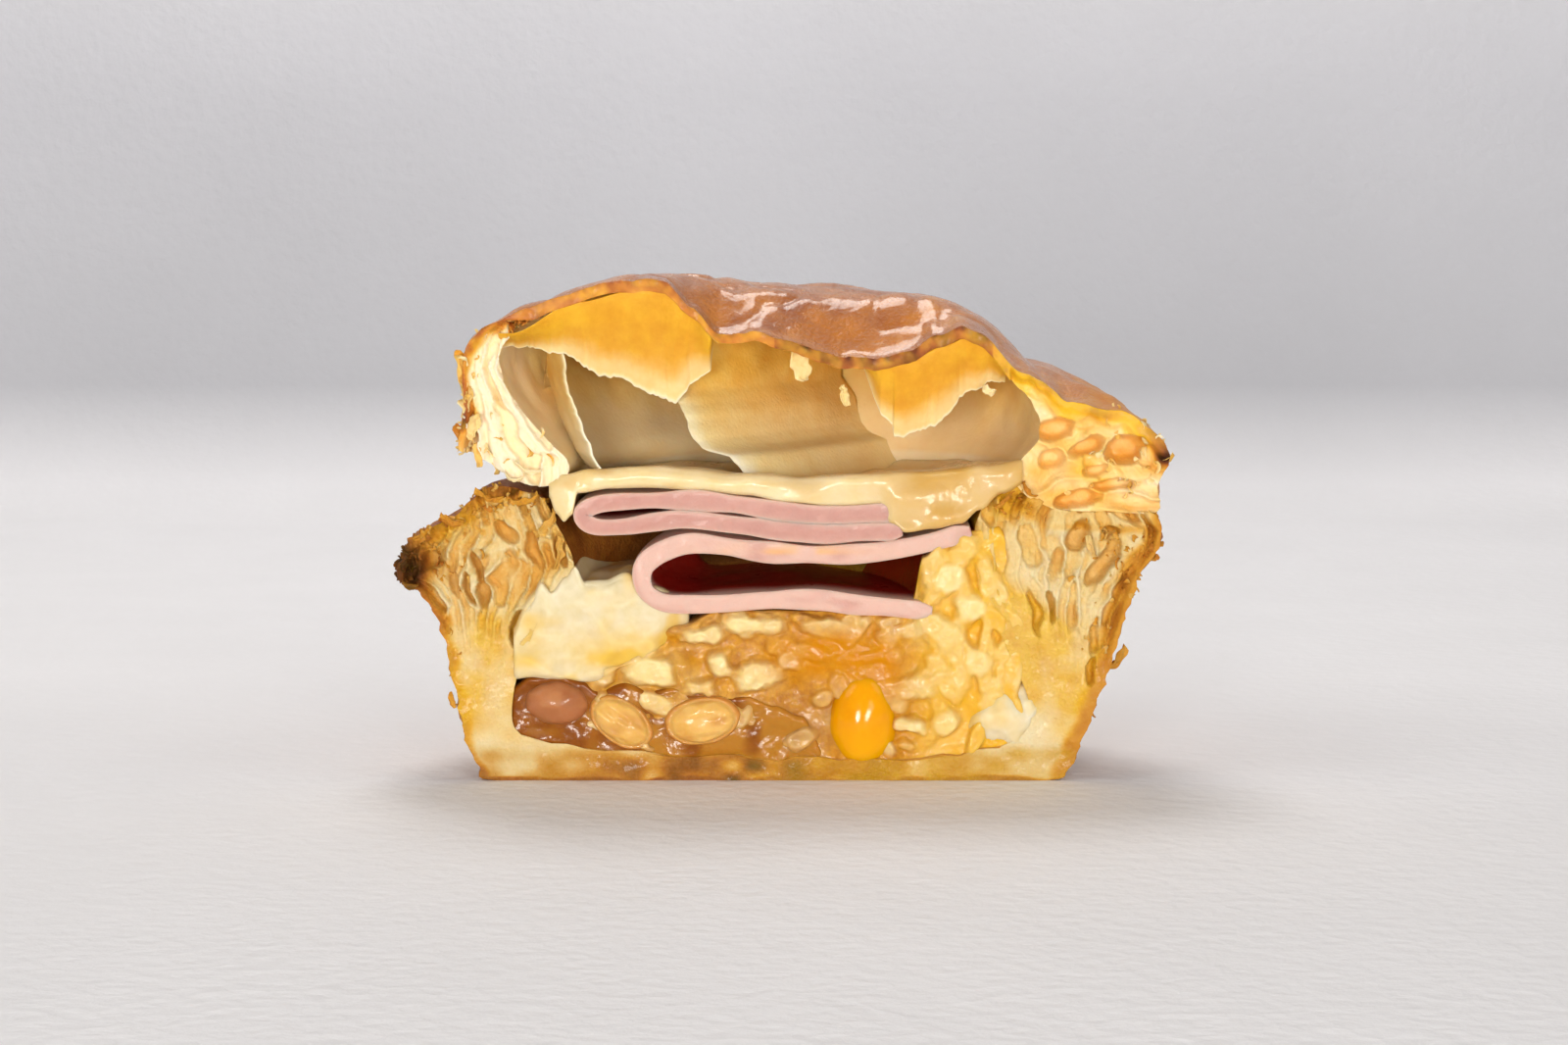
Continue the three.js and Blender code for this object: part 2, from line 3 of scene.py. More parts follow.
import bpy
import numpy as np
from mathutils import Euler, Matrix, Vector


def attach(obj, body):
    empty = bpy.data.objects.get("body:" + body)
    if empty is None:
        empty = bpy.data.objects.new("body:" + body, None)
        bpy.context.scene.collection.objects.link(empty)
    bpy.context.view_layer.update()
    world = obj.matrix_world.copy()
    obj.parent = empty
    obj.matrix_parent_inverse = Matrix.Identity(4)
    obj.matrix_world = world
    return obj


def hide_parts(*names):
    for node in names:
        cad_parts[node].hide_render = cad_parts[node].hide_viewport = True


# Half of a puffed breakfast pie, cut open to the camera, on a plain pale floor.
# Shapes are worked out in millimetres, in the frame's own axes, and made into meshes in metres.
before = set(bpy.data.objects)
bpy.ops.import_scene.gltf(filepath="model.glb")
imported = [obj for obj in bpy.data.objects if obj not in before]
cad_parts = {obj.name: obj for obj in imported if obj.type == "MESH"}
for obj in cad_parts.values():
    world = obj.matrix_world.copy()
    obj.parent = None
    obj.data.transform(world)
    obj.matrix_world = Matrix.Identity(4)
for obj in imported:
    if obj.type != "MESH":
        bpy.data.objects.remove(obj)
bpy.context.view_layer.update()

MM = 0.001
CUT_Y = -4.0  # the knife cut
HOLLOW_RADIUS = 37.0  # of the round space that the filling lies in
FILLING_DEPTH = 38.5  # from the cut to the back of the filling
LEAST_NARROWING = 0.66  # of the filling at its back
SAG_DEPTH = 9.0  # how far behind the cut the sagging front edge of the lid reaches
HAM_THICKNESS = 2.8
FOLDED_HAM_THICKNESS = 2.3
FACE_STEP = 0.22  # between points of the cut face
KNIFE_FRONT = -66.0  # the front of the block that the knife takes away
DEEPEST_PIT, PROUDEST_CRUMB = 6.5, -0.8  # of the pastry's cut face, from the knife's plane
FACE_TOLERANCE = 0.12  # how near the cut face a point counts as on it
FINE_TURN = (-22, 202)  # degrees round the pie's axis that are in fine steps

# ---- Outlines at the cut, as (r, z) on each side of the pie's axis ----
CASE_RIGHT = [
    (0, 0), (20, 0), (40.4, 0), (43.6, 1.6), (45.3, 5), (46.8, 9.5), (48.8, 14.4), (50.4, 19.6),
    (52.2, 25.6), (54, 31), (56.4, 34), (57.2, 37), (55.5, 39.3), (49, 39.4), (42, 39.8), (37.5, 42.5),
    (34.6, 44.6), (31.6, 42), (29.6, 37), (30, 31), (32.4, 25), (35, 18.5), (37.6, 12.5), (37.8, 7.6),
    (33.5, 4.8), (22, 3.2), (0, 3.2),
]
CASE_LEFT = [
    (0, 0), (20, 0), (41.6, 0), (43.6, 2), (45.6, 6), (46.6, 10.8), (47.6, 15.5), (48.6, 21),
    (50.4, 25.6), (52.8, 28.6), (55.4, 30), (54.6, 33.8), (51.3, 37.1), (46.2, 39.4), (43, 42.6), (38.5, 43),
    (34.4, 41.8), (32.2, 38), (29.6, 32), (31.6, 28.2), (34.8, 24), (37, 18.5), (38.6, 13.4), (38.6, 8),
    (35, 6.2), (22, 4.4), (0, 3.2),
]
LID_RIGHT = [
    (0, 70.6), (10, 70.7), (20, 70.3), (28, 68.6), (34, 64.6), (37.4, 60), (38.8, 56.5), (39, 53),
    (38.4, 50), (36.4, 47.4), (35.2, 44.8), (37.6, 42), (42.2, 40.2), (49, 39.9), (56.2, 39.8), (56.6, 42.6),
    (56.8, 45.4), (58.2, 47.4), (57.4, 49.6), (54.5, 53), (50.5, 56.8), (46, 59.6), (42, 61), (39.2, 61.6),
    (37, 64), (33, 67.6), (27, 70.8), (20, 72.1), (10, 72.4), (0, 72.2),
]
LID_LEFT = [
    (0, 70.6), (14, 72.4), (25, 71.4), (34, 68.8), (39.4, 65), (40.2, 61), (38, 56), (34, 51), (30.6, 47.6),
    (30.4, 45.4), (32.4, 43.8), (34.6, 43.6), (37.4, 44.2), (40, 45.6), (42.2, 47.2), (44.4, 48.4),
    (46.2, 49.2), (45.8, 51.6), (45.2, 55), (45.6, 58), (45.6, 61.6), (44.8, 64.4), (42.8, 66.4), (40, 68),
    (36, 70), (29, 72.2), (23, 73.4), (16.5, 74.2), (9, 73.2), (0, 72.2),
]
# How far the lid's front edge hangs down, as (x, drop), and where its lower side then is, as (x, z).
SAG = [
    (-60, 0), (-16, 0), (-12, 2.9), (-8, 6.3), (-3, 5.8), (2, 7), (10, 8.6), (16, 9), (20, 8.3), (24, 5.6),
    (28, 2.8), (31, 2.4), (35, 3.8), (39, 2.2), (43, 4.6), (47, 4), (53, 1.6), (58, 0), (70, 0),
]
LID_EDGE = [
    (-40, 66), (-30, 70.6), (-22, 72.2), (-16, 73), (-11, 69.4), (-8, 65.8), (2, 64.6), (10, 62.9),
    (16, 62.3), (20, 62.9), (24, 64.4), (28.3, 66.2), (32.6, 63.8), (35.5, 61),
]

# ---- Lines of the fillings at the cut, as (x, z) ----
CHEESE_TOP = [
    (-34, 43.6), (-31, 45.4), (-27, 46.2), (-20, 46.4), (-12, 46), (-4, 45.2), (4, 44.8), (12, 45.2),
    (20, 45.6), (27, 46.2), (31, 46.9), (37, 47.6),
]
CHEESE_BOTTOM = [
    (-33.2, 42), (-32.2, 39.6), (-31, 38.4), (-29.8, 39.4), (-29, 42.6), (-24, 43.3), (-18, 43.4),
    (-11, 43), (-4, 42.3), (2, 41.3), (9, 40.7), (15.6, 40.9), (17, 38.2), (19.4, 36.9), (23.4, 37.4),
    (27.6, 38.2), (30.4, 40.2), (33.6, 42.6), (37, 44),
]
FOLDED_HAM = [
    (18.4, 39.9), (9, 39.4), (1.5, 40), (-5, 41), (-13, 41.7), (-20, 41.7), (-26, 41.2), (-28.4, 39.6),
    (-26, 37.8), (-18, 38.3), (-13, 38.8), (-6, 38.1), (1.5, 37.2), (9, 36.8), (19, 37.1),
]
HAM_LOOP = [
    (29, 37.2), (24, 35.6), (18, 34.4), (12, 33.8), (5.5, 33.7), (-1.5, 34.1), (-7.3, 35), (-12.5, 35.4),
    (-16.5, 34.2), (-19, 32.2), (-19.5, 30), (-18.4, 27.8), (-14.8, 26.3), (-7.3, 26.4), (-1.5, 26.8),
    (5.8, 26.9), (11.6, 26.4), (17, 25.8), (23.4, 25.3),
]
EGG_WHITE_TOP = [
    (-39, 22), (-36.4, 26.6), (-34.4, 29.8), (-33, 28.4), (-30.8, 30.6), (-29.4, 32.2), (-28, 29.8),
    (-25, 29.6), (-22, 30.6), (-18, 28.6), (-12.6, 26),
]
EGG_WHITE_BOTTOM = [
    (-39, 15), (-36, 15.4), (-33.4, 15.2), (-31.2, 15), (-28, 14.6), (-24.7, 14.8), (-20.3, 17),
    (-16, 20), (-12.6, 22),
]
HASH_TOP = [
    (-29, 15), (-24, 17), (-14, 23), (-8, 25.2), (18.6, 25), (20.4, 26.8), (22, 33.2), (25, 35.6),
    (28, 36.8), (33, 37.6), (36, 33), (39, 22),
]
SAUCE_TOP = [
    (-39, 13.6), (-36, 15.4), (-32, 15.8), (-28.6, 14.8), (-26, 13.2), (-22, 14.4), (-18.4, 13.2),
    (-14, 13.9), (-8, 12.6), (-4, 12.4), (0, 11), (4, 9.4), (8, 3.4),
]
FLOOR = [
    (-40, 8.5), (-38, 6.6), (-35, 5.4), (-22, 3.6), (0, 2.4), (22, 2.4), (33, 4.0), (37, 6.6), (39, 9),
]

# Larger holes that the knife opened: (x, z, half width, half height, tilt, depth).
LID_HOLES = [
    (41.3, 52.1, 2.5, 1.6, 0, 4.5), (45.8, 49.7, 3.0, 1.3, 25, 4.5), (40.5, 47.6, 1.9, 1.5, 12, 4.5),
    (51.3, 49.1, 2.9, 2.2, 10, 5), (47.4, 46.2, 2.3, 0.8, 12, 3.5), (50, 43.9, 3.6, 1.0, 4, 4),
    (44.8, 41.9, 3.5, 1.4, 10, 4.5),
]
CASE_SLITS = [
    (48.6, 32.2, 1.5, 4.2, -34, 4.5), (44.8, 36.3, 1.4, 2.4, -30, 4), (49.6, 36.6, 1.7, 1.1, 10, 4),
    (41, 26, 0.6, 2.8, 4, 3), (38.6, 25.2, 0.7, 3.4, 12, 2.6), (47, 21.4, 0.7, 2.8, -12, 3),
    (46.9, 16.4, 0.6, 2.2, -4, 2.4), (-50.4, 32.4, 1.8, 1.6, 20, 4.5),
    (-47.4, 29.4, 0.7, 2.6, 24, 4), (-43.6, 31.4, 0.8, 2.6, 16, 4.5),
    (-42.8, 27.4, 0.9, 2.4, 10, 4.5), (-45.2, 28.8, 0.6, 2.6, 20, 4), (-37.5, 23, 1.0, 2.6, -20, 4),
    (-39.6, 36.8, 2.4, 1.1, -36, 4), (-35.2, 33.6, 1.1, 3.4, 20, 4.5), (-31.4, 34.4, 0.9, 3.2, 14, 4),
]


# ---- Numbers ----
def mix(a, b, share):
    """a at share 0 and b at share 1."""
    return a + (b - a) * share


def ease(share):
    """0 to 1 with a soft start and end."""
    share = np.clip(share, 0, 1)
    return share * share * (3 - 2 * share)


def ramp(value, low, high):
    """0 up to low and 1 from high, with a soft start and end."""
    return ease((value - low) / (high - low))


def bell(away, reach):
    """1 at no distance, fading to 0 beyond its reach."""
    return np.exp(-((away / reach) ** 2))


def around(x, z, at_x, at_z, wide, high):
    """1 at a place on the cut, fading to 0 around it."""
    return np.exp(-(((x - at_x) / wide) ** 2) - ((z - at_z) / high) ** 2)


def blots(x, z, *rows):
    """Soft spots on the cut, each given as its strength, place, half width and half height."""
    return sum(strength * around(x, z, *row) for strength, *row in rows)


def line_through(points, x):
    """The height at x of the soft line through (x, z) points, as in the solids."""
    points = np.array(points, float)
    left = np.clip(np.searchsorted(points[:, 0], x, side="left") - 1, 0, len(points) - 2)
    share = (x - points[left, 0]) / (points[left + 1, 0] - points[left, 0])
    return mix(points[left, 1], points[left + 1, 1], ease(share))


def spline(points, share):
    """Places at shares from 0 to 1 of the curve through the points, and the curve's direction there."""
    points = np.array(points, float)
    last = len(points) - 1
    where = np.clip(share, 0, 1) * last
    i = np.minimum(np.floor(where).astype(int), last - 1)
    t = (where - i)[:, None]
    p0, p1, p2, p3 = (points[np.clip(i + n, 0, last)] for n in (-1, 0, 1, 2))
    v0, v1 = (p2 - p0) / 2, (p3 - p1) / 2
    a, b = 2 * p1 - 2 * p2 + v0 + v1, -3 * p1 + 3 * p2 - 2 * v0 - v1
    return ((a * t + b) * t + v0) * t + p1, (3 * a * t + 2 * b) * t + v0


def lattice(i, j, k):
    """A number from -1 to 1 for each whole place, always the same."""
    wave = np.sin(i * 127.1 + j * 311.7 + k * 74.7) * 43758.5453
    return 2 * (wave - np.floor(wave)) - 1


def noise(x, y, z):
    """Repeatable noise from -1 to 1, smooth over one unit."""
    i, j, k = np.floor(x), np.floor(y), np.floor(z)
    u, v, w = ease(x - i), ease(y - j), ease(z - k)

    def level(at):
        return mix(*(mix(lattice(i, n, at), lattice(i + 1, n, at), u) for n in (j, j + 1)), v)

    return mix(level(k), level(k + 1), w)


def rough(x, y, z, octaves=4):
    """Noise with finer noise on it, about -1 to 1."""
    total = 0.0
    for n in range(octaves):
        total = total + noise(x * 2**n + 5.2 * n, y * 2**n - 3.7 * n, z * 2**n + 1.3 * n) / 2**n
    return total * 0.7


def cells(u, v, seed):
    """Irregular cells in a plane: how far each place is from its cell's edge, and its cell's own number."""
    i, j = np.floor(u), np.floor(v)
    nearest = np.full(np.shape(u), 9.0)
    second = nearest.copy()
    number = np.zeros(np.shape(u))
    for di in (-1, 0, 1):
        for dj in (-1, 0, 1):
            a, b = i + di, j + dj
            aside_u, aside_v = (0.42 * lattice(a, b, seed + n) for n in (0, 17))
            away = np.hypot(u - a - 0.5 - aside_u, v - b - 0.5 - aside_v)
            closer = away < nearest
            second = np.where(closer, nearest, np.minimum(second, away))
            number = np.where(closer, lattice(a, b, seed + 31), number)
            nearest = np.where(closer, away, nearest)
    return second - nearest, number * 0.5 + 0.5


# ---- Meshes ----
def make_piece(name, points, faces):
    """An object from points in millimetres and arrays of faces with three or four corners each."""
    mesh = bpy.data.meshes.new(name)
    corners = np.concatenate([np.ravel(f) for f in faces]).astype(np.int32)
    sizes = np.concatenate([np.full(len(f), np.shape(f)[1]) for f in faces])
    starts = np.concatenate([[0], np.cumsum(sizes)[:-1]]).astype(np.int32)
    mesh.vertices.add(len(points))
    mesh.vertices.foreach_set("co", np.ravel(points * MM).astype(np.float32))
    mesh.loops.add(len(corners))
    mesh.loops.foreach_set("vertex_index", corners)
    mesh.polygons.add(len(sizes))
    mesh.polygons.foreach_set("loop_start", starts)
    mesh.polygons.foreach_set("use_smooth", np.full(len(sizes), True))
    mesh.update(calc_edges=True)
    piece = bpy.data.objects.new(name, mesh)
    bpy.context.scene.collection.objects.link(piece)
    return piece


def places_of(piece):
    """The piece's points, in millimetres."""
    flat = np.empty(len(piece.data.vertices) * 3, np.float32)
    piece.data.vertices.foreach_get("co", flat)
    return flat.reshape(-1, 3).astype(float) / MM


def set_masks(piece, **masks):
    """Numbers from 0 to 1 for each point, that a material reads by name."""
    for name, values in masks.items():
        values = np.clip(np.broadcast_to(values, len(piece.data.vertices)), 0, 1)
        made = piece.data.attributes.new(name, "FLOAT", "POINT")
        made.data.foreach_set("value", values.astype(np.float32))


def finish_piece(piece, node, material):
    """Gives the piece its material, hangs it on the root body and hides the node that it replaces."""
    piece.data.materials.clear()
    piece.data.materials.append(material)
    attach(piece, "root")
    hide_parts(node)


def side(grid, flip=False):
    """The quads of a grid of point numbers."""
    corners = [grid[:-1, :-1], grid[1:, :-1], grid[1:, 1:], grid[:-1, 1:]]
    quads = np.stack([c.ravel() for c in corners], axis=1)
    return quads[:, ::-1] if flip else quads


def rim_of(grid):
    """The numbers round the rim of a grid of point numbers."""
    return np.concatenate([grid[:-1, 0], grid[-1, :-1], grid[:0:-1, -1], grid[0, :0:-1]])


def fan(first, second, tip):
    """Faces from pairs of points to one point."""
    return np.stack([first, second, np.full(len(first), tip)], axis=1)


def box_skin(nx, ny, nz):
    """The skin of a unit box in small steps: places from 0 to 1, and faces that look outwards."""
    shell = np.zeros((nx + 1, ny + 1, nz + 1), bool)
    shell[[0, -1]] = True
    shell[:, [0, -1]] = True
    shell[:, :, [0, -1]] = True
    number = np.full(shell.shape, -1)
    number[shell] = np.arange(shell.sum())
    faces = [
        side(number[:, :, -1]), side(number[:, :, 0], True), side(number[:, -1, :], True),
        side(number[:, 0, :]), side(number[-1]), side(number[0], True),
    ]
    return np.argwhere(shell) / (nx, ny, nz), faces


def slab_skin(nx, ny, nz):
    """As box_skin, but its back is one fan of faces round a point, since no one sees it."""
    grid = np.argwhere(np.ones((nx + 1, nz + 1)))
    number = np.arange(len(grid)).reshape(nx + 1, nz + 1)
    rim = rim_of(number)
    front = np.insert(grid / (nx, nz), 1, 0, axis=1)
    rings = [front[rim] + (0, n / ny, 0) for n in range(1, ny + 1)]
    ring = np.vstack([rim] + [len(front) + n * len(rim) + np.arange(len(rim)) for n in range(ny)])
    ring = np.concatenate([ring, ring[:, :1]], axis=1)
    points = np.concatenate([front, *rings, [[0.5, 1, 0.5]]])
    return points, [side(number), side(ring), fan(ring[-1, 1:], ring[-1, :-1], len(points) - 1)]


def carve(body, knife):
    """Takes the knife away from the body for good."""
    cut = body.modifiers.new("cut", "BOOLEAN")
    cut.operation, cut.solver, cut.object = "DIFFERENCE", "MANIFOLD", knife
    carved = bpy.data.meshes.new_from_object(body.evaluated_get(bpy.context.evaluated_depsgraph_get()))
    body.modifiers.remove(cut)
    whole, body.data = body.data, carved
    bpy.data.meshes.remove(whole)
    bpy.data.objects.remove(knife)
    carved.polygons.foreach_set("use_smooth", np.full(len(carved.polygons), True))
    return body


# ---- Shapes ----
def turned_body(name, right, left, spacing, turns, shape):
    """A solid turned round the axis. Its outline is `right` on +X and `left` on -X. The part behind
    the cut is in fine steps, and `spacing` gives the step along the outline by its place on it."""
    sides = [np.array(right, float), np.array(left, float)]
    lengths = np.max([np.hypot(*np.diff(s, axis=0).T) for s in sides], axis=0)
    last = len(right) - 1
    shares = [
        (i + np.arange(n) / n) / last
        for i, n in enumerate(np.ceil(lengths / [spacing(i) for i in range(last)]).astype(int))
    ]
    shares = np.concatenate([*shares, [1.0]])
    outlines = [spline(s, shares)[0] for s in sides]
    start, end = FINE_TURN
    coarse = np.linspace(end, start + 360, 14)[1:-1]
    angles = np.radians(np.concatenate([np.linspace(start, end, turns), coarse]))
    share = (1 - np.cos(angles)) / 2
    r, z = (mix(outlines[0][1:-1, n, None], outlines[1][1:-1, n, None], share) for n in (0, 1))
    r, z = np.maximum(r, 0.01), np.broadcast_to(z, r.shape)
    points = np.stack([r * np.cos(angles), r * np.sin(angles), z], axis=-1).reshape(-1, 3)
    ends = [[0, 0, outlines[0][0, 1]], [0, 0, outlines[0][-1, 1]]]
    points = shape(np.concatenate([points, ends]))
    rows, columns = r.shape
    number = np.arange(rows * columns).reshape(rows, columns)
    ring = np.concatenate([number, number[:, :1]], axis=1)
    first, final = rows * columns, rows * columns + 1
    under = np.stack([np.full(columns, first), ring[0, 1:], ring[0, :-1]], axis=1)
    over = np.stack([np.full(columns, final), ring[-1, :-1], ring[-1, 1:]], axis=1)
    return make_piece(name, points, [side(ring, True), under, over])


def knife_block(low, high, relief):
    """The block in front of the cut. Its rear face follows `relief(x, z)`, the depth of the cut face."""
    xs = np.arange(low[0], high[0], FACE_STEP)
    zs = np.arange(low[1], high[1], FACE_STEP)
    x, z = np.meshgrid(xs, zs, indexing="ij")
    face = np.stack([x, CUT_Y + relief(x, z), z], axis=-1).reshape(-1, 3)
    number = np.arange(x.size).reshape(x.shape)
    rim = rim_of(number)
    front = face[rim] * (1, 0, 1) + (0, KNIFE_FRONT, 0)
    near = x.size + np.arange(len(rim))
    middle = [(low[0] + high[0]) / 2, KNIFE_FRONT, (low[1] + high[1]) / 2]
    points = np.concatenate([face, front, [middle]])
    following, near_following = np.roll(rim, -1), np.roll(near, -1)
    walls = np.stack([rim, following, near_following, near], axis=1)
    cap = fan(near, near_following, len(points) - 1)
    return make_piece("knife", points, [side(number, True), walls, cap])


def in_pie(x, z, front, back):
    """A place in the filling, at `back` of the way from its front face to its rear. As in the solids."""
    y = CUT_Y + mix(front, FILLING_DEPTH, back)
    narrowing = np.sqrt(np.maximum(0, 1 - (y / HOLLOW_RADIUS) ** 2))
    return np.stack([x * np.maximum(LEAST_NARROWING, narrowing), y, z], axis=1)


def round_corner(from_top, from_front, radius):
    """Distances from a sharp corner's two faces, as they are on a corner of this radius."""
    a = np.clip(1 - from_top / radius, 0, 1)
    b = np.clip(1 - from_front / radius, 0, 1)
    shrink = np.where((a > 0) & (b > 0), np.maximum(a, b) / np.maximum(np.hypot(a, b), 1e-6), 1)
    return np.where(a > 0, radius * (a - a * shrink), 0), np.where(b > 0, radius * (b - b * shrink), 0)


def layer(name, start, end, bottom, top, steps, relief, wave=None, soft_top=0.8, soft_foot=0.6):
    """A layer of filling between two lines on the cut, running to the back of the pie. `relief` is the
    depth of its face, `wave` how far its top rises at a distance from the cut, and the last two numbers
    are the radii of its front edges."""
    unit, faces = slab_skin(*steps)
    x = mix(start, end, unit[:, 0])
    back, up = unit[:, 1] ** 2.2, unit[:, 2]
    front = back * FILLING_DEPTH
    low, high = line_through(bottom, x), line_through(top, x)
    if wave:
        high = high + wave(x, front)
    z = mix(low, high, up)
    lower, behind = round_corner(high - z, front, soft_top)
    raised, behind_foot = round_corner(z - low, front, soft_foot)
    ends = 0.7 * np.abs(2 * unit[:, 0] - 1) ** 30
    points = in_pie(x, z - lower + raised, relief(x, z) + ends, back)
    points[:, 1] += behind + behind_foot
    return make_piece(name, points, faces)


def slice_of_ham(name, line, thickness, lap, edge):
    """A slice laid along a line on the cut, running to the back of the pie. It is thicker by `lap`
    except at its fold, so that its halves touch."""
    unit, faces = slab_skin(280, 36, 12)
    coarse = np.linspace(0, 1, 600)
    path = spline(line, coarse)[0]
    run = np.concatenate([[0], np.cumsum(np.hypot(*np.diff(path, axis=0).T))])
    share, back, across = unit[:, 0], unit[:, 1] ** 2, 2 * unit[:, 2] - 1
    middle, along = spline(line, np.interp(share, run / run[-1], coarse))
    along = along / np.linalg.norm(along, axis=1)[:, None]
    laid = share * run[-1]
    end = np.minimum(share, 1 - share) * run[-1]
    rounding = np.sqrt(np.clip(0.2 + end / thickness, 0, 1))
    wobble = 0.22 * noise(laid / 5, back * FILLING_DEPTH / 7, 4.4)
    swell = 1 + 0.14 * noise(laid / 6, back * 5, 8.1)
    lapped = lap * (1 - np.exp(-(((share - 0.46) / 0.1) ** 4)))
    offset = (unit[:, 2] - 0.5) * (thickness + lapped) * rounding * swell + wobble
    x = middle[:, 0] - along[:, 1] * offset
    z = middle[:, 1] + along[:, 0] * offset
    grain = 0.08 * rough(laid / 1.4, across * 1.4, 2.0)
    bulge = 0.16 * (1 - across**6) + 0.1
    points = in_pie(x, z, edge(share) - bulge + grain, back)
    piece = make_piece(name, points, faces)
    pale = 0.7 * ramp(noise(laid / 4, across, 6.0) + (thickness - 2.6) * 4, -0.6, 0.8)
    # Painted shade: one face of each slice, set back from the cut, is painted dark red.
    shaded_within = ramp(points[:, 1] - CUT_Y, 0.6, 7) * (across > 0.9)
    set_masks(piece, rim=np.maximum(np.abs(across) ** 4, pale), inside=shaded_within)
    return piece


def ball_skin(n):
    """The skin of a ball of radius 1, in even steps."""
    unit, faces = box_skin(n, n, n)
    way = np.tan((unit * 2 - 1) * math.pi / 4)
    return way / np.linalg.norm(way, axis=1)[:, None], faces


def lump_places(ball, at, half, tilt, sunk, neck=0.0):
    """An oval lump at the cut. `neck` narrows and lengthens its upper end. As in the solids."""
    turn = math.radians(tilt)
    narrow = 1 - neck * np.clip(ball[:, 2] * 0.5 + 0.5, 0, 1) ** 2
    across = ball[:, 0] * half[0] * narrow
    up = ball[:, 2] * half[2] * np.where(ball[:, 2] > 0, 1 + neck, 1)
    x = at[0] + across * math.cos(turn) - up * math.sin(turn)
    z = at[1] + across * math.sin(turn) + up * math.cos(turn)
    return np.stack([x, CUT_Y + sunk + ball[:, 1] * half[1], z], axis=1)


def blunt(ball, power=4):
    """A ball made fuller towards the cut, so that more of its width shows there."""
    y = np.abs(ball[:, 1])
    fuller = np.sqrt(np.maximum(1 - y**power, 0)) / np.sqrt(np.maximum(1 - y**2, 1e-6))
    return ball * np.stack([fuller, np.ones(len(y)), fuller], axis=1)


# ---- The pastry's cut face ----
def side_lines(outline, outer, inner, mirror):
    """x of the wall's outer and inner side at a height, from stretches of its outline."""
    lines = []
    for first, last in (outer, inner):
        points = sorted((z, mirror * r) for r, z in outline[first:last])
        lines.append(np.array(points).T)
    return lines


CASE_OUTER, CASE_INNER = (3, 13), (16, 24)  # points of its outline
CASE_WALLS = {
    hand: side_lines(outline, CASE_OUTER, CASE_INNER, hand)
    for hand, outline in ((-1, CASE_LEFT), (1, CASE_RIGHT))
}
LID_LEFT_WALL = side_lines(LID_LEFT, (16, 24), (4, 10), -1)
LID_RIGHT_TOP = sorted(LID_RIGHT[18:26])


def wall_share(lines, x, z):
    """How far x is through a wall at height z: 0 at its outer side and 1 at its inner side."""
    outer, inner = (np.interp(z, line[0], line[1]) for line in lines)
    return (x - outer) / (inner - outer), np.abs(x - outer)


def hollows(run, count, seed):
    """Hollows between sheets that `count` counts: each opens and closes along its run."""
    sheet = np.floor(count)
    between = np.sin(math.pi * (count - sheet)) ** 0.6
    return between * np.clip(0.45 + 0.75 * noise(run + 7.3 * sheet, sheet * 3.1, seed), 0, 1) ** 1.4


def sheets(u, v, x, z, seed, openness, deepest=3.6, closed=2.0):
    """Depth of a face of puffed pastry: sheets run along u, v counts them, and hollows lie between."""
    u = u + 0.35 * noise(x / 3.6, z / 3.6, seed + 0.5)
    v = v + 0.7 * noise(x / 6.2, z / 6.2, seed + 1.5) + 0.2 * noise(x / 1.5, z / 1.5, seed + 2.5)
    gap, number = cells(u * 1.3, v * 0.8, seed)
    deep = deepest * hollows(u * 1.6, v, seed + 0.3)
    shallow = 0.9 * hollows(u * 3.4, v * 2.6 + 0.4, seed + 7.3)
    cell = ramp(gap, 0.02, 0.24) * deepest * 0.8 * number**closed
    fuzz = 0.35 * np.abs(rough(x / 1.2, seed, z / 1.2, 3))
    return openness * (np.maximum(deep, cell) + shallow + fuzz)


def pockets(x, z, holes):
    """Depth of the larger holes, whose outlines are bent and ragged."""
    depth = np.zeros(np.shape(x))
    bent_x, bent_z = x + 0.55 * noise(x / 2.8, 1.0, z / 2.8), z + 0.55 * noise(x / 2.8, 4.0, z / 2.8)
    for at_x, at_z, across, high, tilt, deep in holes:
        turn = math.radians(tilt)
        dx, dz = bent_x - at_x, bent_z - at_z
        ragged = 1.1 + 0.25 * noise(x / 1.1, z / 1.1, at_x)
        a = (dx * math.cos(turn) + dz * math.sin(turn)) / across
        b = (-dx * math.sin(turn) + dz * math.cos(turn)) / high
        depth = np.maximum(depth, deep * np.sqrt(np.clip(1.15 * ragged - a * a - b * b, 0, 1)))
    return depth


def case_openness(x, z):
    """How far the case's walls are puffed into sheets: not at all where yolk has soaked in."""
    dense_below = np.where(x > 0, 31 - 0.75 * (x - 32), 23 + 0.25 * (x + 42))
    return ramp(z - dense_below, -3.5, 4)


def case_relief(x, z):
    """Depth of the case's cut face. Its base is dense, and its walls open into sheets as they rise."""
    depth = 0.24 * rough(x / 2.2, 1.5, z / 1.8) + 0.35 * noise(x / 5, 3.0, z / 4)
    for hand, lines in CASE_WALLS.items():
        share, inward = wall_share(lines, x, z)
        here = (x * hand > 26) & (z > 3)
        openness = case_openness(x, z) * ramp(inward, 0.5, 1.6) * here
        closed = 1.2 + 0.5 * hand
        depth = depth + sheets(z / 8.5, share * 12, x, z, 3 + hand, openness, 3.2, closed)
        strings = 0.35 * np.abs(noise(share * 17, z / 9, 5.0 + hand)) * ramp(z, 10, 22) * here
        depth = depth + strings * (1 - openness)
    depth = np.maximum(depth, pockets(x, z, CASE_SLITS))
    crumbly = blots(x, z, (1.1, -48, 38, 10, 5), (1, 36, 42, 5, 4))
    depth = depth + crumbly * rough(x / 1.3, 9.0, z / 1.3, 3)
    return np.clip(depth, PROUDEST_CRUMB, DEEPEST_PIT)


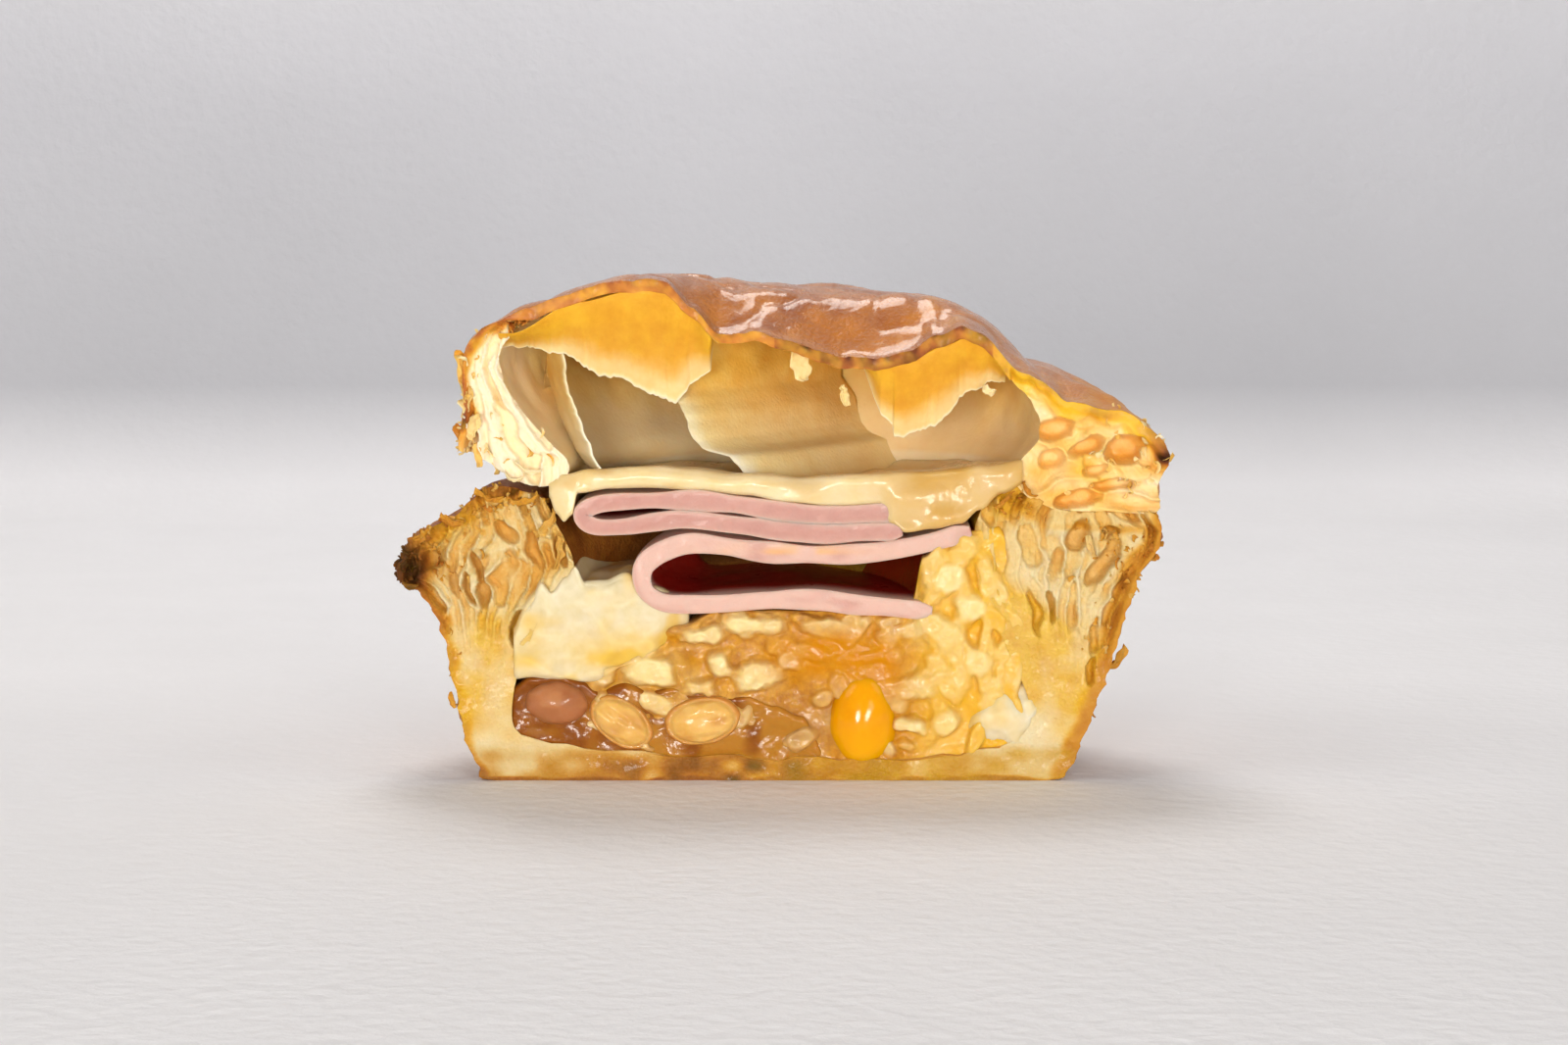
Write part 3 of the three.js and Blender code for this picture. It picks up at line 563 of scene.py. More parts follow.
def lid_relief(x, z):
    """Depth of the lid's cut face: long slanting sheets on the left, bread-like cells on the right."""
    depth = 0.2 * rough(x / 1.8, 6.5, z / 1.8)
    share, inward = wall_share(LID_LEFT_WALL, x, z)
    left = (x < -27) & (z < 68)
    openness = left * ramp(inward, 0.4, 1.4)
    depth = depth + sheets((z - x * 0.4) / 16.0, share * 5.5, x, z, 11, openness, 4.2)
    top = line_through(LID_RIGHT_TOP, x) - line_through(SAG, x)
    height = (z - 39.6) / np.maximum(top - 39.6, 4)
    right = (x > 34.5) * ramp(top - z, 0.9, 2.4)
    depth = depth + 0.55 * sheets(x / 7.5, height * 4.2, x, z, 21, right, 4.6)
    depth = np.maximum(depth, pockets(x, z, LID_HOLES))
    return np.clip(depth, PROUDEST_CRUMB, DEEPEST_PIT)


# ---- Finishes ----
def colour(code):
    """A colour for a shader from its usual six-digit code."""
    parts = [int(code[n:n + 2], 16) / 255 for n in (0, 2, 4)]
    return (*(c / 12.92 if c <= 0.04045 else ((c + 0.055) / 1.055) ** 2.4 for c in parts), 1)


def put(tree, kind, inputs=None, **settings):
    """Adds a node, with its settings and what goes into its sockets."""
    made = tree.nodes.new(kind)
    for key, value in settings.items():
        setattr(made, key, value)
    for key, value in (inputs or {}).items():
        if isinstance(value, bpy.types.NodeSocket):
            tree.links.new(value, made.inputs[key])
        else:
            made.inputs[key].default_value = value
    return made


def blend_colours(tree, share, a, b, kind="MIX"):
    return put(tree, "ShaderNodeMix", {0: share, 6: a, 7: b}, data_type="RGBA", blend_type=kind).outputs[2]


def sums(tree, operation, *values, clamp=False):
    inputs = dict(enumerate(values))
    return put(tree, "ShaderNodeMath", inputs, operation=operation, use_clamp=clamp).outputs[0]


def spread(tree, value, low, high, to_low, to_high):
    """The value brought from one range to another, and held there."""
    names = {"Value": value, "From Min": low, "From Max": high, "To Min": to_low, "To Max": to_high}
    return put(tree, "ShaderNodeMapRange", names).outputs[0]


def mask(tree, name):
    return put(tree, "ShaderNodeAttribute", attribute_name=name).outputs["Fac"]


def colour_ramp(tree, value, stops):
    ramp_node = put(tree, "ShaderNodeValToRGB", {"Fac": value})
    points = ramp_node.color_ramp.elements
    while len(points) < len(stops):
        points.new(0.5)
    for point, (place, code) in zip(points, stops):
        point.position, point.color = place, colour(code)
    return ramp_node.outputs["Color"]


def node_group(name, inputs, outputs):
    group = bpy.data.node_groups.new(name, "ShaderNodeTree")
    for key, value in inputs.items():
        socket = group.interface.new_socket(key, in_out="INPUT", socket_type="NodeSocketFloat")
        socket.default_value = value
    for key, kind in outputs.items():
        group.interface.new_socket(key, in_out="OUTPUT", socket_type=kind)
    return group, group.nodes.new("NodeGroupInput").outputs, group.nodes.new("NodeGroupOutput").inputs


def build_food_grain():
    """Uneven colour and a fine bumpy surface. Sizes are in millimetres."""
    kinds = {"Patches": "NodeSocketFloat", "Height": "NodeSocketFloat"}
    group, given, out = node_group("food_grain", {"Patch size": 6.0, "Grain size": 0.8}, kinds)
    place = put(group, "ShaderNodeTexCoord").outputs["Object"]
    wider, finer = (sums(group, "DIVIDE", 1 / MM, given[key]) for key in ("Patch size", "Grain size"))
    keys = ("Vector", "Scale", "Detail", "Roughness")
    patches, grain = (
        put(group, "ShaderNodeTexNoise", dict(zip(keys, values)))
        for values in ((place, wider, 4.0, 0.62), (place, finer, 5.0, 0.6))
    )
    pits = put(group, "ShaderNodeTexVoronoi", {"Vector": place, "Scale": finer, "Randomness": 1.0})
    group.links.new(spread(group, patches.outputs["Fac"], 0.3, 0.7, 0.0, 1.0), out["Patches"])
    height = sums(group, "MULTIPLY_ADD", pits.outputs["Distance"], 0.5, grain.outputs["Fac"])
    group.links.new(height, out["Height"])
    return group


def build_baking():
    """The colour of pastry from pale dough to burnt, with yolk or butter soaked in. Its toast and burnt
    masks also carry painted shade, and its soaked mask painted amber light.
    """
    kinds = {"Colour": "NodeSocketColor", "Roughness": "NodeSocketFloat"}
    names = {"Toast": 0.5, "Burnt": 0.0, "Soaked": 0.0, "Glaze": 0.0, "Patches": 0.5}
    group, given, out = node_group("baking", names, kinds)
    uneven = sums(group, "MULTIPLY_ADD", given["Patches"], 0.16, -0.08)
    uneven = sums(group, "MULTIPLY", uneven, sums(group, "ADD", given["Toast"], 0.3))
    depth = sums(group, "ADD", given["Toast"], uneven)
    stops = [
        (0.0, "F5E9CC"), (0.14, "F0D6A0"), (0.28, "E8B668"), (0.42, "D9983A"), (0.56, "C47A30"),
        (0.72, "9C5626"), (0.86, "6E3519"), (1.0, "2E130B"),
    ]
    baked = colour_ramp(group, depth, stops)
    soaked = blend_colours(group, given["Patches"], colour("F2C42C"), colour("E2A816"))
    wet = blend_colours(group, sums(group, "MULTIPLY", given["Soaked"], 0.85, clamp=True), baked, soaked)
    charred = blend_colours(group, given["Burnt"], wet, colour("34150A"))
    group.links.new(charred, out["Colour"])
    dry = sums(group, "MULTIPLY_ADD", given["Patches"], 0.15, 0.6)
    wetter = sums(group, "SUBTRACT", dry, sums(group, "MULTIPLY", given["Soaked"], 0.3))
    glazed = sums(group, "SUBTRACT", wetter, sums(group, "MULTIPLY", given["Glaze"], 0.4), clamp=True)
    group.links.new(sums(group, "MAXIMUM", glazed, 0.14), out["Roughness"])
    return group


GRAIN = build_food_grain()
BAKING = build_baking()


class Finish:
    """A material with the shared grain already in it."""

    def __init__(self, name, patch, grain, bump, **sockets):
        """Sizes are in millimetres, and further numbers go into the shader's sockets."""
        self.material = bpy.data.materials.new(name)
        self.material.use_nodes = True
        self.tree = self.material.node_tree
        self.shader = self.tree.nodes["Principled BSDF"]
        sizes = {"Patch size": patch, "Grain size": grain}
        grain_node = put(self.tree, "ShaderNodeGroup", sizes, node_tree=GRAIN)
        self.patches, self.height = grain_node.outputs["Patches"], grain_node.outputs["Height"]
        bumps = {"Strength": 1.0, "Distance": bump * MM, "Height": self.height}
        self.raised = put(self.tree, "ShaderNodeBump", bumps)
        self.link("Normal", self.raised.outputs[0])
        for key, value in sockets.items():
            self.shader.inputs[key.replace("_", " ")].default_value = value

    def link(self, socket, value):
        self.tree.links.new(value, self.shader.inputs[socket])

    def soft_inside(self, weight, reach, red, green, blue):
        """Light that goes into the food and comes out nearby. `reach` is in millimetres."""
        self.shader.inputs["Subsurface Weight"].default_value = weight
        self.shader.inputs["Subsurface Scale"].default_value = reach * MM
        self.shader.inputs["Subsurface Radius"].default_value = (red, green, blue)


SPECULAR = 0.14  # weak, since the glaze has a shine of its own


def pastry_finish(name, patch, grain, bump, coat, reach, tone, smooth=1.0):
    """Pastry by its masks. Where it isn't glazed, the grain keeps `smooth` of its height."""
    finish = Finish(name, patch, grain, bump, Coat_Roughness=0.12, Specular_IOR_Level=SPECULAR)
    finish.soft_inside(0.4, reach, 1.0, 0.66, 0.34)
    tree = finish.tree
    masks = {key: mask(tree, key.lower()) for key in ("Toast", "Burnt", "Soaked", "Glaze")}
    baked = put(tree, "ShaderNodeGroup", {**masks, "Patches": finish.patches}, node_tree=BAKING).outputs
    finish.link("Base Color", blend_colours(tree, 1.0, baked["Colour"], colour(tone), "MULTIPLY"))
    finish.link("Roughness", baked["Roughness"])
    finish.link("Coat Weight", sums(tree, "MULTIPLY", masks["Glaze"], coat))
    share = sums(tree, "MULTIPLY_ADD", masks["Glaze"], 1 - smooth, smooth)
    tree.links.new(sums(tree, "MULTIPLY", finish.height, share), finish.raised.inputs["Height"])
    return finish.material


def filling_finish(name, light, dark, patch, bump, shine, reach, tints, layers, coat, grain=0.9):
    """A moist filling: two colours in patches, with more colours laid over them by mask."""
    finish = Finish(
        name, patch, grain, bump, Coat_Weight=coat, Coat_Roughness=0.1, Specular_IOR_Level=SPECULAR)
    finish.soft_inside(0.5, reach, *tints)
    base = blend_colours(finish.tree, finish.patches, colour(light), colour(dark))
    for key, code in layers.items():
        base = blend_colours(finish.tree, mask(finish.tree, key), base, colour(code))
    finish.link("Base Color", base)
    finish.link("Roughness", spread(finish.tree, finish.patches, 0.0, 1.0, *shine))
    return finish.material


# ---- Bodies of pastry ----
def case_shape(p):
    """The browned, layered outside of the case. The base stays flat."""
    x, y, z = p.T
    r = np.maximum(np.hypot(x, y), 0.01)
    outside = np.clip((r - 41) / 4, 0, 1) * np.clip(z / 3, 0, 1)
    layers = 0.45 * noise(x / 9, y / 9, z * 3 / 2.9)
    crumbs = 0.5 * noise(x / 2.4, y / 2.4, z / 2.4) * np.clip((z - 26) / 8, 0, 1)
    fine = 0.34 * rough(x / 2.6, y / 2.6, z / 0.9, 3) + 0.25 * np.abs(noise(x / 5, y / 5, z / 1.2))
    out = 1 + outside * (layers + crumbs + fine) / r
    inner_floor = np.clip((z - 2) / 1.2, 0, 1) * np.clip((11 - z) / 4, 0, 1) * np.clip((42 - r) / 3, 0, 1)
    raised = inner_floor * (0.7 * noise(x / 3.4, y / 6, 4.0) + 0.3 * noise(x / 1.4, y / 3, 5.0))
    raised = raised + 0.45 * np.clip((z - 38) / 1, 0, 1) * np.clip((r - 37) / 2, 0, 1)
    return np.stack([x * out, y * out, np.maximum(z + raised, 0)], axis=1)


def sag_at(x, y):
    """How far the lid hangs down at a place: most at its cut edge."""
    return line_through(SAG, x) * bell(y - CUT_Y, SAG_DEPTH)


def up_the_dome(z):
    """0 on the lid's sides and 1 on its dome."""
    return np.clip((z - 50) / 8, 0, 1)


def lid_lift(x, y, z):
    """How far the lid's sag, blisters and fine wrinkles move a place up."""
    r = np.hypot(x, y)
    blister = 0.9 * noise(x / 11, y / 11, 3.1) * np.clip(r / 6, 0, 1)
    wrinkles = 0.26 * rough(x / 4.2, y / 4.2, 9.1) - 0.5 * (1 - np.abs(noise(x / 6, y / 4.5, 5.5))) ** 4
    outer = ramp(z + 0.02 * r * r - 72, -9, -2)
    frayed = 0.24 * rough(x / 1.5, y / 1.5, 8.0, 3) * bell(y - CUT_Y, 1.6)
    return up_the_dome(z) * (blister + outer * wrinkles + frayed - sag_at(x, y))


def lid_shape(p):
    """The dome's blisters and wrinkles, and the sag of its cut edge."""
    x, y, z = p.T
    r = np.maximum(np.hypot(x, y), 0.01)
    rough_side = 0.5 * noise(x / 3, y / 3, z / 2.4) * np.clip((r - 34) / 8, 0, 1)
    fine = 0.3 * rough(x / 2.2, y / 2.2, z / 1.1, 3) * np.clip((r - 40) / 4, 0, 1)
    out = 1 + (rough_side + fine * (1 - up_the_dome(z) * 0.6)) / r
    return np.stack([x * out, y * out, z + lid_lift(x, y, z)], axis=1)


def outline_place(points, right, left, skin):
    """Which point of the outline each place is nearest to, and how far it is from the stretch `skin`."""
    x, y, z = points.T
    shares = np.linspace(0, 1, 6 * (len(right) - 1) + 1)
    a, b = spline(right, shares)[0], spline(left, shares)[0]
    turn = (1 - x / np.maximum(np.hypot(x, y), 0.01)) / 2
    nearest, best, from_outside = np.full(len(x), 1e9), np.zeros(len(x)), np.full(len(x), 1e9)
    for n, share in enumerate(shares):
        away = (mix(a[n, 0], b[n, 0], turn) - np.hypot(x, y)) ** 2 + (mix(a[n, 1], b[n, 1], turn) - z) ** 2
        closer = away < nearest
        nearest, best = np.where(closer, away, nearest), np.where(closer, share, best)
        if skin[0] <= share * (len(right) - 1) <= skin[1]:
            from_outside = np.minimum(from_outside, away)
    return best * (len(right) - 1), np.sqrt(from_outside)


def cut_face_of(piece, relief):
    """The piece's points, which of them are on the cut face, and how deep those are."""
    points = places_of(piece)
    depth = points[:, 1] - CUT_Y
    on_cut = np.abs(depth - relief(points[:, 0], points[:, 2])) < FACE_TOLERANCE
    return points, on_cut, np.where(on_cut, depth, 0)


BURNT_TIP = (-54.4, 31.8)  # of the case's left rim, at the cut
# Places along the outlines, counted in points, and the stretches that have a skin at the cut.
CASE_UNDERSIDE_END, CASE_PEAK, CASE_LINING_END = 2.4, 15.7, 24
CASE_SKIN = (2.6, 15)
LID_CEILING_END, LID_INSIDE_END = 9.4, 14.1
LID_SKIN = (17.4, 29)
# The blocks that the knife takes away, as their lowest and highest (x, z).
CASE_BLOCK = ((-60, -3), (62, 46.5))
LID_BLOCK = ((-50, 36), (62, 79))


def case_spacing(point):
    """Millimetres between points: coarse on the base, fine on the sides."""
    return 6 if point < 2 else 0.8 if point < 16 else 1.1 if point < 23 else 3


def lid_spacing(point):
    """Millimetres between points: finer on the dome than in the hollow."""
    return 1.2 if point < 9 else 0.9 if point < 17 else 0.62


def pastry_case(material):
    """The case, cut by the knife, with its masks: browned, burnt, soaked with yolk and moist. Painted
    shade darkens its cut face's pits, its inner wall high up and the wall behind the ham.
    """
    case = turned_body("pastry_case_flaky", CASE_RIGHT, CASE_LEFT, case_spacing, 190, case_shape)
    carve(case, knife_block(*CASE_BLOCK, case_relief))
    points, on_cut, depth = cut_face_of(case, case_relief)
    x, y, z = p = points.T
    on_left, on_right = x < 0, x > 0
    place, from_outside = outline_place(points, CASE_RIGHT, CASE_LEFT, CASE_SKIN)
    share, inward = np.where(on_left, *(wall_share(CASE_WALLS[hand], x, z) for hand in (-1, 1)))
    puffed = case_openness(x, z)
    tip = np.clip(1.5 * around(x, z, *BURNT_TIP, 3.4, 4.2), 0, 0.95)
    low = ramp(6.5 - z, 0, 3.5) * (0.8 + 0.5 * noise(x / 3, 7.0, z / 2.2))

    under = 0.42 + 0.1 * rough(x / 8, y / 8, 1.0)
    outer = 0.52 + 0.14 * rough(x / 6, y / 6, z / 3) + 0.12 * ramp(z, 28, 36)
    outer = outer - 0.34 * (place > 12) * (x > 20)
    # The inner wall browns from 22 mm up, more on the left. This is painted shade in the space behind the
    # ham, laid over the wall's own browning.
    lining_with_shade = 0.3 + 0.08 * noise(*p / 4) + np.where(on_left, 0.4, 0.2) * ramp(z, 22, 32)
    body = np.where(place < CASE_UNDERSIDE_END, under, np.where(place < CASE_PEAK, outer, lining_with_shade))
    # Painted shade: the cut face is browner the deeper its pits.
    crumb_with_pit_shade = 0.03 + np.where(on_left, 0.24, 0.2) * ramp(depth, 0.5, 3)
    crumb_with_pit_shade = crumb_with_pit_shade + 0.06 * ramp(noise(x / 3, 8.0, z / 4), -0.2, 0.8)
    width = np.where(on_left, 1.7, 3.0) + 0.8 * noise(x / 3, 2.2, z / 3)
    under_lid = ramp(z, 36.6, 38.4) * ramp(x, 36, 40) * ramp(57 - x, 0, 3)
    skin = ramp(width - from_outside, -0.4, 1.6) * (1 - 0.8 * under_lid)
    peak = around(x, z, 35.6, 42.4, 4.6, 3.6) * ramp(rough(x / 1.6, 1, z / 1.6), -1.2, 0.2)
    rim = around(x, z, -47, 39.5, 13, 5.0) * ramp(rough(x / 1.8, 0, z / 1.8), -0.9, 0.5)
    browned = np.max([
        0.7 * peak + 0.3 * rim,
        0.3 * (x < -30) * ramp(z, 24, 34) * ramp(rough(x / 1.3, 4.0, z / 1.6), 0.1, 0.7),
        0.7 * ramp(0.5 + 0.5 * noise(x / 4, 2.0, 1.0) - z, -0.3, 0.3),
        0.95 * tip + 0.5 * around(x, z, -50, 36.6, 3, 1.6),
        low * (0.22 + 0.55 * around(x, z, -4, 0, 26, 9)),
    ], axis=0)
    toast = np.maximum(np.where(on_cut, crumb_with_pit_shade + np.where(on_left, 0.6, 0.46) * skin, body), on_cut * browned)

    ring = 0.6 * ramp(np.hypot(x, y), 53, 56) * ramp(noise(x / 6, y / 6, z / 3), -0.1, 0.7)
    burnt = np.where(on_cut, 0.45 * tip, np.maximum(ring, tip * bell(y - CUT_Y, 6)) * (place < 16))
    burnt = burnt * (0.9 + 0.4 * rough(*p / 1.5))
    # Painted shade: the inner wall behind the ham is painted near black through the burnt mask.
    painted_shade_behind_ham = (place > CASE_PEAK) * ramp(y, 16, 26) * bell(z - 31, 5.5)
    burnt = np.maximum(np.maximum(burnt, 0.9 * painted_shade_behind_ham), on_cut * low * 0.2)

    dense = (1 - puffed) * ramp(z, 3, 8) * (0.75 + 0.5 * noise(x / 5, 1.0, z / 6))
    spots = blots(x, z, (1, -42, 22, 3.2, 3.8), (0.35, -46, 39, 8, 4), (0.3, -50, 37, 3, 2))
    foot = blots(x, z, (0.5, 8, 2, 16, 3), (0.3, 30, 2, 12, 2))
    near_filling = ramp(share, 0.62, 0.95) * ramp(z, 8, 14)
    soaked = np.where(on_right, 1.6 * dense * ramp(inward, 1, 4) + 0.24, 0.9 * dense + 0.1) + spots + foot
    soaked = soaked + 0.4 * near_filling * np.where(on_right, 1, 0.4)
    soaked = soaked * (1 - 0.9 * around(x, z, 36, 7, 7, 5)) * (0.9 + 0.4 * rough(*p / 3))
    soaked = np.maximum(soaked, low * (0.2 + 0.5 * ramp(x, -8, 10)))
    on_lining = (place > 16) & (place < CASE_LINING_END)
    warm = np.where(on_left, 0.1, 0.75) * on_lining * ramp(z, 8, 24)

    side_wall = (place > CASE_UNDERSIDE_END) & (place < CASE_PEAK) & ~on_cut
    glaze = np.maximum(0.5 * (1 - puffed) * on_cut, 0.25 * side_wall)
    set_masks(case, toast=toast, burnt=burnt, soaked=np.where(on_cut, soaked, warm), glaze=glaze)
    finish_piece(case, "pastry_case", material)
    return case


def pastry_lid(material):
    """The lid, cut by the knife, with its masks: browned, burnt, buttery and glazed. Its hollow has
    painted shade towards the ceiling and painted amber light, its left chamber painted light, and the
    cut face painted shade in its pits.
    """
    lid = turned_body("pastry_lid_puffed", LID_RIGHT, LID_LEFT, lid_spacing, 230, lid_shape)
    carve(lid, knife_block(*LID_BLOCK, lid_relief))
    points, on_cut, depth = cut_face_of(lid, lid_relief)
    x, y, z = p = points.T
    # The outline knows no sag or blisters, so they are taken off each place's height first.
    level = z + sag_at(x, y) * ramp(z, 40, 56)
    for _ in range(3):
        level = z - lid_lift(x, y, level)
    levelled = np.stack([x, y, level], axis=1)
    place, from_outside = outline_place(levelled, LID_RIGHT, LID_LEFT, LID_SKIN)
    outside = (place > LID_INSIDE_END) & ~on_cut
    dome = outside * ramp(level, 54, 62)
    spot = around(x, z, 57.6, 47.4, 1.8, 2.4)
    # Painted light: the hollow's left chamber is made paler, with less browning and less amber.
    painted_light_left = ramp(-x, 22, 34) * ramp(y, 24, 8)

    crown = 0.61 + 0.05 * rough(x / 8, y / 8, 2.0) + 0.05 * noise(x / 3, y / 3, 7.0)
    crown = crown - 0.06 * ramp(np.hypot(x, y), 30, 44)
    sides = 0.5 + 0.14 * rough(x / 6, y / 6, z / 3)
    # Painted shade: the hollow is browner towards its ceiling.
    hollow = (0.06 + 0.14 * ramp(z, 46, 62)) * (1 - painted_light_left) + 0.04 * noise(*p / 5)
    body = np.where(outside, mix(sides, crown, dome), np.where(place < LID_INSIDE_END, hollow, 0.3))
    width = np.where(x > 34, 1.7, np.where(x > -36, 2.6, 1.3)) + 0.6 * noise(x / 2, 5.0, z / 2)
    thin = (z > line_through(LID_EDGE, x) - 0.7) * (x > -39) * (x < 35.5)
    band = np.maximum(ramp(width - from_outside, -0.5, 0.9), thin)
    # Painted shade: the cut face is browner the deeper its pits.
    crumb_with_pit_shade = np.where(x < 0, 0.1, 0.13) * ramp(depth, 1.0, 4.5)
    flecked = 0.55 + 0.14 * ramp(0.8 - from_outside, 0, 0.9) + 0.14 * rough(x / 1.2, 2.0, z / 1.2, 3)
    edge = 0.02 + crumb_with_pit_shade + (0.14 + 0.12 * noise(x / 3, 3.0, z / 2)) * (x > 0) + band * flecked
    edge = edge + 0.4 * around(x, z, -45.8, 51, 1.4, 3) + 0.22 * spot

    burnt = 0.12 * spot * bell(y - CUT_Y, 6) * (0.8 + 0.5 * rough(*p / 1.5))

    buttery = 0.9 * ramp(4.6 - from_outside, 0, 2.6) * (x > 32) + 0.8 * around(x, z, 44, 46, 12, 8)
    soaked_edge = ramp(rough(x / 1.8, 3.0, z / 1.8, 3), -0.5, 0.5) * ramp(2.4 - from_outside, 0, 1.6)
    buttery = (buttery + 0.5 * soaked_edge * (x < 32)) * on_cut
    # Painted shade: deep pits are less butter-yellow.
    buttery = buttery * (1 - 0.7 * ramp(depth, 1.4, 4)) * (1 - around(x, z, 57.4, 47.6, 4, 4.6))
    # Painted light: the hollow is painted amber through the soaked mask, more towards its ceiling, as if lit
    # through the dome.
    painted_glow = (0.34 + 0.3 * ramp(z, 50, 62)) * (place < LID_CEILING_END) * ~on_cut * (1 - 0.35 * painted_light_left)
    soaked = np.maximum(buttery * (0.8 + 0.5 * rough(x / 2, 0, z / 2)), painted_glow)

    moist = on_cut * np.maximum(0.12 * band, 0.4 * (x > 30) * ramp(depth, 0.3, 2))
    glaze = np.maximum(np.maximum(dome, 0.4 * outside), moist)
    set_masks(lid, toast=np.where(on_cut, edge, body), burnt=burnt, soaked=soaked, glaze=glaze)
    finish_piece(lid, "pastry_lid", material)
    return lid


# ---- Torn sheets and flakes ----
def pastry_sheet(name, points, faces, material, toast, soaked, node="pastry_lid"):
    """A piece of thin pastry that isn't burnt."""
    sheet = make_piece(name, points, faces)
    set_masks(sheet, toast=toast, burnt=0, soaked=soaked, glaze=0.15)
    finish_piece(sheet, node, material)


# The flaps' hems at the cut, as (x, z).
LEFT_FLAP_HEM = [
    (-40.4, 64.2), (-39.9, 63.8), (-36.3, 63.8), (-33.4, 63.1), (-31.2, 62.9), (-29, 61.6), (-26.8, 60.5),
    (-25.8, 59.7), (-22.9, 59.3), (-20.3, 57.9), (-17.7, 56.6), (-16, 56), (-14.5, 55.7), (-13.1, 57.3),
    (-11.3, 59), (-9.4, 60.5), (-9, 63.4),
]
RIGHT_FLAP_HEM = [
    (12.2, 62.4), (13.1, 60.5), (14.5, 57.6), (15.7, 53.9), (17.4, 52.5), (17.6, 50.5), (19.1, 50.5),
    (21, 51.5), (23.9, 52.3), (25.7, 54.1), (27.1, 56), (28.3, 57.3), (30.5, 57.7), (31.3, 58.6), (34, 58.8),
]
# The webs' front edges in the hollow, as (x, y, z).
LEFT_WEB = [
    (-31.4, 3.4, 66), (-30.4, 1.6, 60), (-29, 0, 56.1), (-28, -1.2, 51.8), (-26.8, -1.8, 48.1),
    (-25, -2, 45.6),
]
MIDDLE_WEB = [
    (-16, 4, 68), (-14.8, 3.4, 57), (-13.1, 2.6, 53.9), (-12.6, 2.4, 51.8), (-11.9, 2, 50),
    (-10.4, 1.6, 48.6), (-6.5, 1.4, 47.6), (-4, 1.2, 44.6), (-3, 1.2, 43),
]
# The hollow's ceiling, as its height at a distance from the pie's axis.
CEILING = [(0, 70.6), (20, 70.3), (28, 68.6), (34, 64.6), (37.4, 60), (38.8, 56), (39.6, 50)]
WEB_THICKNESS, FLAKE_THICKNESS = 0.5, 0.22


def hanging_flap(name, hem, lean, curl, seed, material):
    """A torn sheet that hangs from the crust: its top is at fall 0 and its hem at fall 1."""
    hem = np.array(hem, float)
    unit, faces = box_skin(160, 1, 46)
    fall, side_of = 1 - unit[:, 2], unit[:, 1] * 2 - 1
    x = mix(hem[0, 0], hem[-1, 0], unit[:, 0])
    ragged = 0.35 * noise(x / 1.1, seed, 1.4) + 0.22 * noise(x / 0.4, seed, 3.0)
    high = np.minimum(line_through(LID_EDGE, x - 1.3), line_through(LID_EDGE, x + 1.3)) + 0.1
    z = mix(high, np.minimum(np.interp(x, hem[:, 0], hem[:, 1]) + ragged, high - 0.6), fall)
    ruffle = (0.7 * noise(x / 7, z / 6, seed) + 0.14 * noise(x / 3, z / 3, seed + 2) * fall) * fall
    y = CUT_Y + 0.9 + lean * fall**1.4 - curl * fall**6 + ruffle
    y = y + side_of * mix(0.28, 0.14, fall)
    x = x + 0.3 * noise(x / 3, z / 3, seed + 5) * fall
    edge = ramp(fall, 0.94, 1.0)
    drop = fall + 0.1 * noise(x / 4, z / 4, seed)
    toast = 0.36 * (1 - ramp(drop, 0.35, 0.9)) + 0.19 - 0.15 * edge
    soaked = 0.55 * (1 - ramp(drop, 0.25, 0.8)) + 0.16 * (1 - edge)
    pastry_sheet(name, np.stack([x, y, z], axis=1), faces, material, toast, soaked)


def inner_web(name, front_edge, reach, swing, seed, toast, material):
    """A wall of pastry in the hollow. Its front edge shows at the cut, and it runs back and to a
    side. `toast` is how browned it is low down, and how much more it is darkened at its top by painted
    shade."""
    unit, faces = box_skin(2, 50, 60)
    run, side_of = unit[:, 1], unit[:, 0] * 2 - 1
    z = mix(front_edge[-1][2], front_edge[0][2], unit[:, 2])
    edge_x, edge_y, edge_z = np.array(front_edge[::-1], float).T
    x, y = np.interp(z, edge_z, edge_x), np.interp(z, edge_z, edge_y)
    ragged = (0.6 * noise(z / 1.6, seed, 0.3) + 0.25 * noise(z / 0.6, seed, 2.3)) * (1 - run) ** 3
    bent = 0.8 * noise(run * 2.5, z / 7, seed) + 0.25 * noise(run * 7, z / 2.6, seed + 3)
    half = WEB_THICKNESS / 2 * mix(0.5, 1, np.sqrt(run))
    x = x + swing * run**0.8 + bent + side_of * half + 0.4 * ragged
    y = y + reach * run + ragged
    ceiling = np.interp(np.hypot(x, y), *np.array(CEILING).T) - 0.4 - sag_at(x, y)
    z = np.minimum(z, ceiling)
    # Painted shade darkens the web towards its top, and painted amber light, through the soaked mask, grows
    # there too. The front edge is paler.
    shade = toast[0] + toast[1] * ramp(z, 46, 62) - 0.1 * ramp(0.05 - run, 0, 0.05)
    soaked = (toast[0] + 0.45 * ramp(z, 50, 62)) * ramp(run, 0.0, 0.1)
    pastry_sheet(name, np.stack([x, y, z], axis=1), faces, material, shade, soaked)


